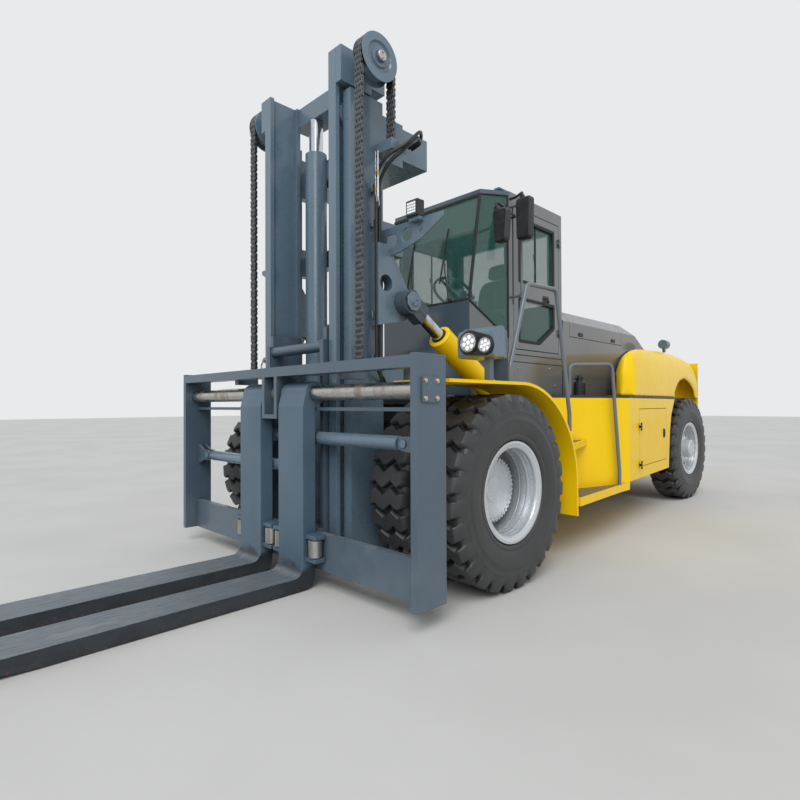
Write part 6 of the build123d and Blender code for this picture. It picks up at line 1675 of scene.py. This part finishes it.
@dataclass
class TiltGlands:
    """Rounded head and wiper ring at the mouth of each tilt cylinder."""

    eye: Triple = (720.0, -284.0, 2073.0)
    back: Triple = (0.0, 0.84526, -0.53437)

    def build(self) -> None:
        """Both sides, each riding its barrel: a yellow nose over its mouth, a black ring round the rod."""
        nose = [(432, 100.4), (428, 99), (424, 94), (421, 84), (420, 70), (420, 53.5), (432, 53.5)]
        ring = [(421, 53), (414, 54), (413, 57), (414, 64), (421, 66)]
        for side in Side:
            for name, profile, segments, coat in (("tilt_gland", nose, 56, Coat.YELLOW),
                                                  ("tilt_wiper", ring, 48, Coat.SEAL)):
                shape = lathe(profile, self.eye, self.back, segments, ring=True)
                make_on(side, name, shape, coat, "tilt_barrel")


@dataclass
class Studio:
    """Camera at the photograph's place, pale floor, soft daylight."""

    spot: Triple = (3.5810762, -4.5216882, 1.2947006)
    right: Triple = (0.7046404, 0.7095557, -0.0035437)
    up: Triple = (0.0089492, -0.0038932, 0.9999524)
    forward: Triple = (-0.7095081, 0.7046386, 0.0090932)
    lens: float = 24.2979

    def camera(self) -> None:
        """Camera whose axes are the measured right, up and forward directions."""
        data = bpy.data.cameras.new("camera")
        data.lens = self.lens
        data.sensor_width = 36.0
        data.clip_end = 200.0
        axes = np.eye(4)
        axes[:3, :3] = np.stack([unit(self.right), unit(self.up), -unit(self.forward)], 1)
        axes[:3, 3] = self.spot
        bpy.context.scene.camera = stand("camera", data, axes)

    def floor(self) -> None:
        """Large pale floor at the tyres' feet, with the faint unevenness of cast concrete."""
        size = 60.0
        mesh = bpy.data.meshes.new("studio_floor")
        mesh.from_pydata([(x, y, 0) for x, y in oblong(-size, size, -size, size)], [], [(0, 1, 2, 3)])
        g = Graph("studio_floor")
        colour = g.lay((206, 204, 200), (198, 196, 192), g.step(g.noise(0.5, 5), 0.3, 0.7))
        g.put(Base_Color=colour, Roughness=0.85, Normal=g.bump(g.noise(60.0, 4), 0.0006, 0.3))
        mesh.materials.append(g.material)
        floor = stand("studio_floor", mesh)

    def sky(self) -> None:
        """Even surroundings: a bluish light, and a pale background for the camera and for what reflects or
        lets light through."""
        world = bpy.data.worlds.new("daylight")
        t = Tree(world)
        rays = t.node("LightPath").outputs
        seen = t.calc("MAXIMUM", rays["Is Camera Ray"], rays["Is Glossy Ray"])
        seen = t.calc("MAXIMUM", seen, rays["Is Transmission Ray"])
        light = t.node("Background", {0: (0.88, 0.94, 1.0, 1.0), 1: 0.62})
        backdrop = t.node("Background", {0: tone((232, 234, 236)), 1: 1.0})
        mix = t.node("MixShader", {0: seen, 1: light.outputs[0], 2: backdrop.outputs[0]})
        t.node("OutputWorld", {0: mix.outputs[0]})
        bpy.context.scene.world = world

    def lamp(self, name: str, kind: str, energy: float, spot: Vec, aim: Vec) -> bpy.types.Light:
        """One lamp of a kind and energy that hangs at a spot and faces a point."""
        data = bpy.data.lights.new(name, kind)
        data.energy = energy
        stand(name, data, place(spot, np.asarray(spot, float) - np.asarray(aim, float)))
        return data

    def build(self) -> None:
        """Camera, floor, sky, a wide soft sun and a round card of light ahead of the truck."""
        self.camera()
        self.floor()
        self.sky()
        self.lamp("daylight_sun", "SUN", 1.5, (5.0, -6.0, 10.0), (0, 0, 1)).angle = math.radians(35.0)
        card = self.lamp("front_card", "AREA", 160.0, (6.5, -9.0, 5.5), (0.5, -1.5, 1.2))
        card.shape = "DISK"
        card.size = 5.0
        bpy.context.scene.view_settings.view_transform = "Standard"


def main() -> None:
    """Builds the studio, the finishes and each sub-assembly in turn."""
    logging.basicConfig(level=logging.INFO, format="%(message)s")
    Studio().build()
    dress_nodes()
    for assembly in (
        *map(Wheels, Side), LeafChains(), MastFittings(), CarriageFittings(), TiltGlands(), HeadLamps(),
        Mirrors(), *map(CabDoor, Side), CabTrim(), CabInterior(), BodyTrim(), PressedFenders(), RearTrim(),
    ):
        assembly.build()


if __name__ == "__main__":
    main()
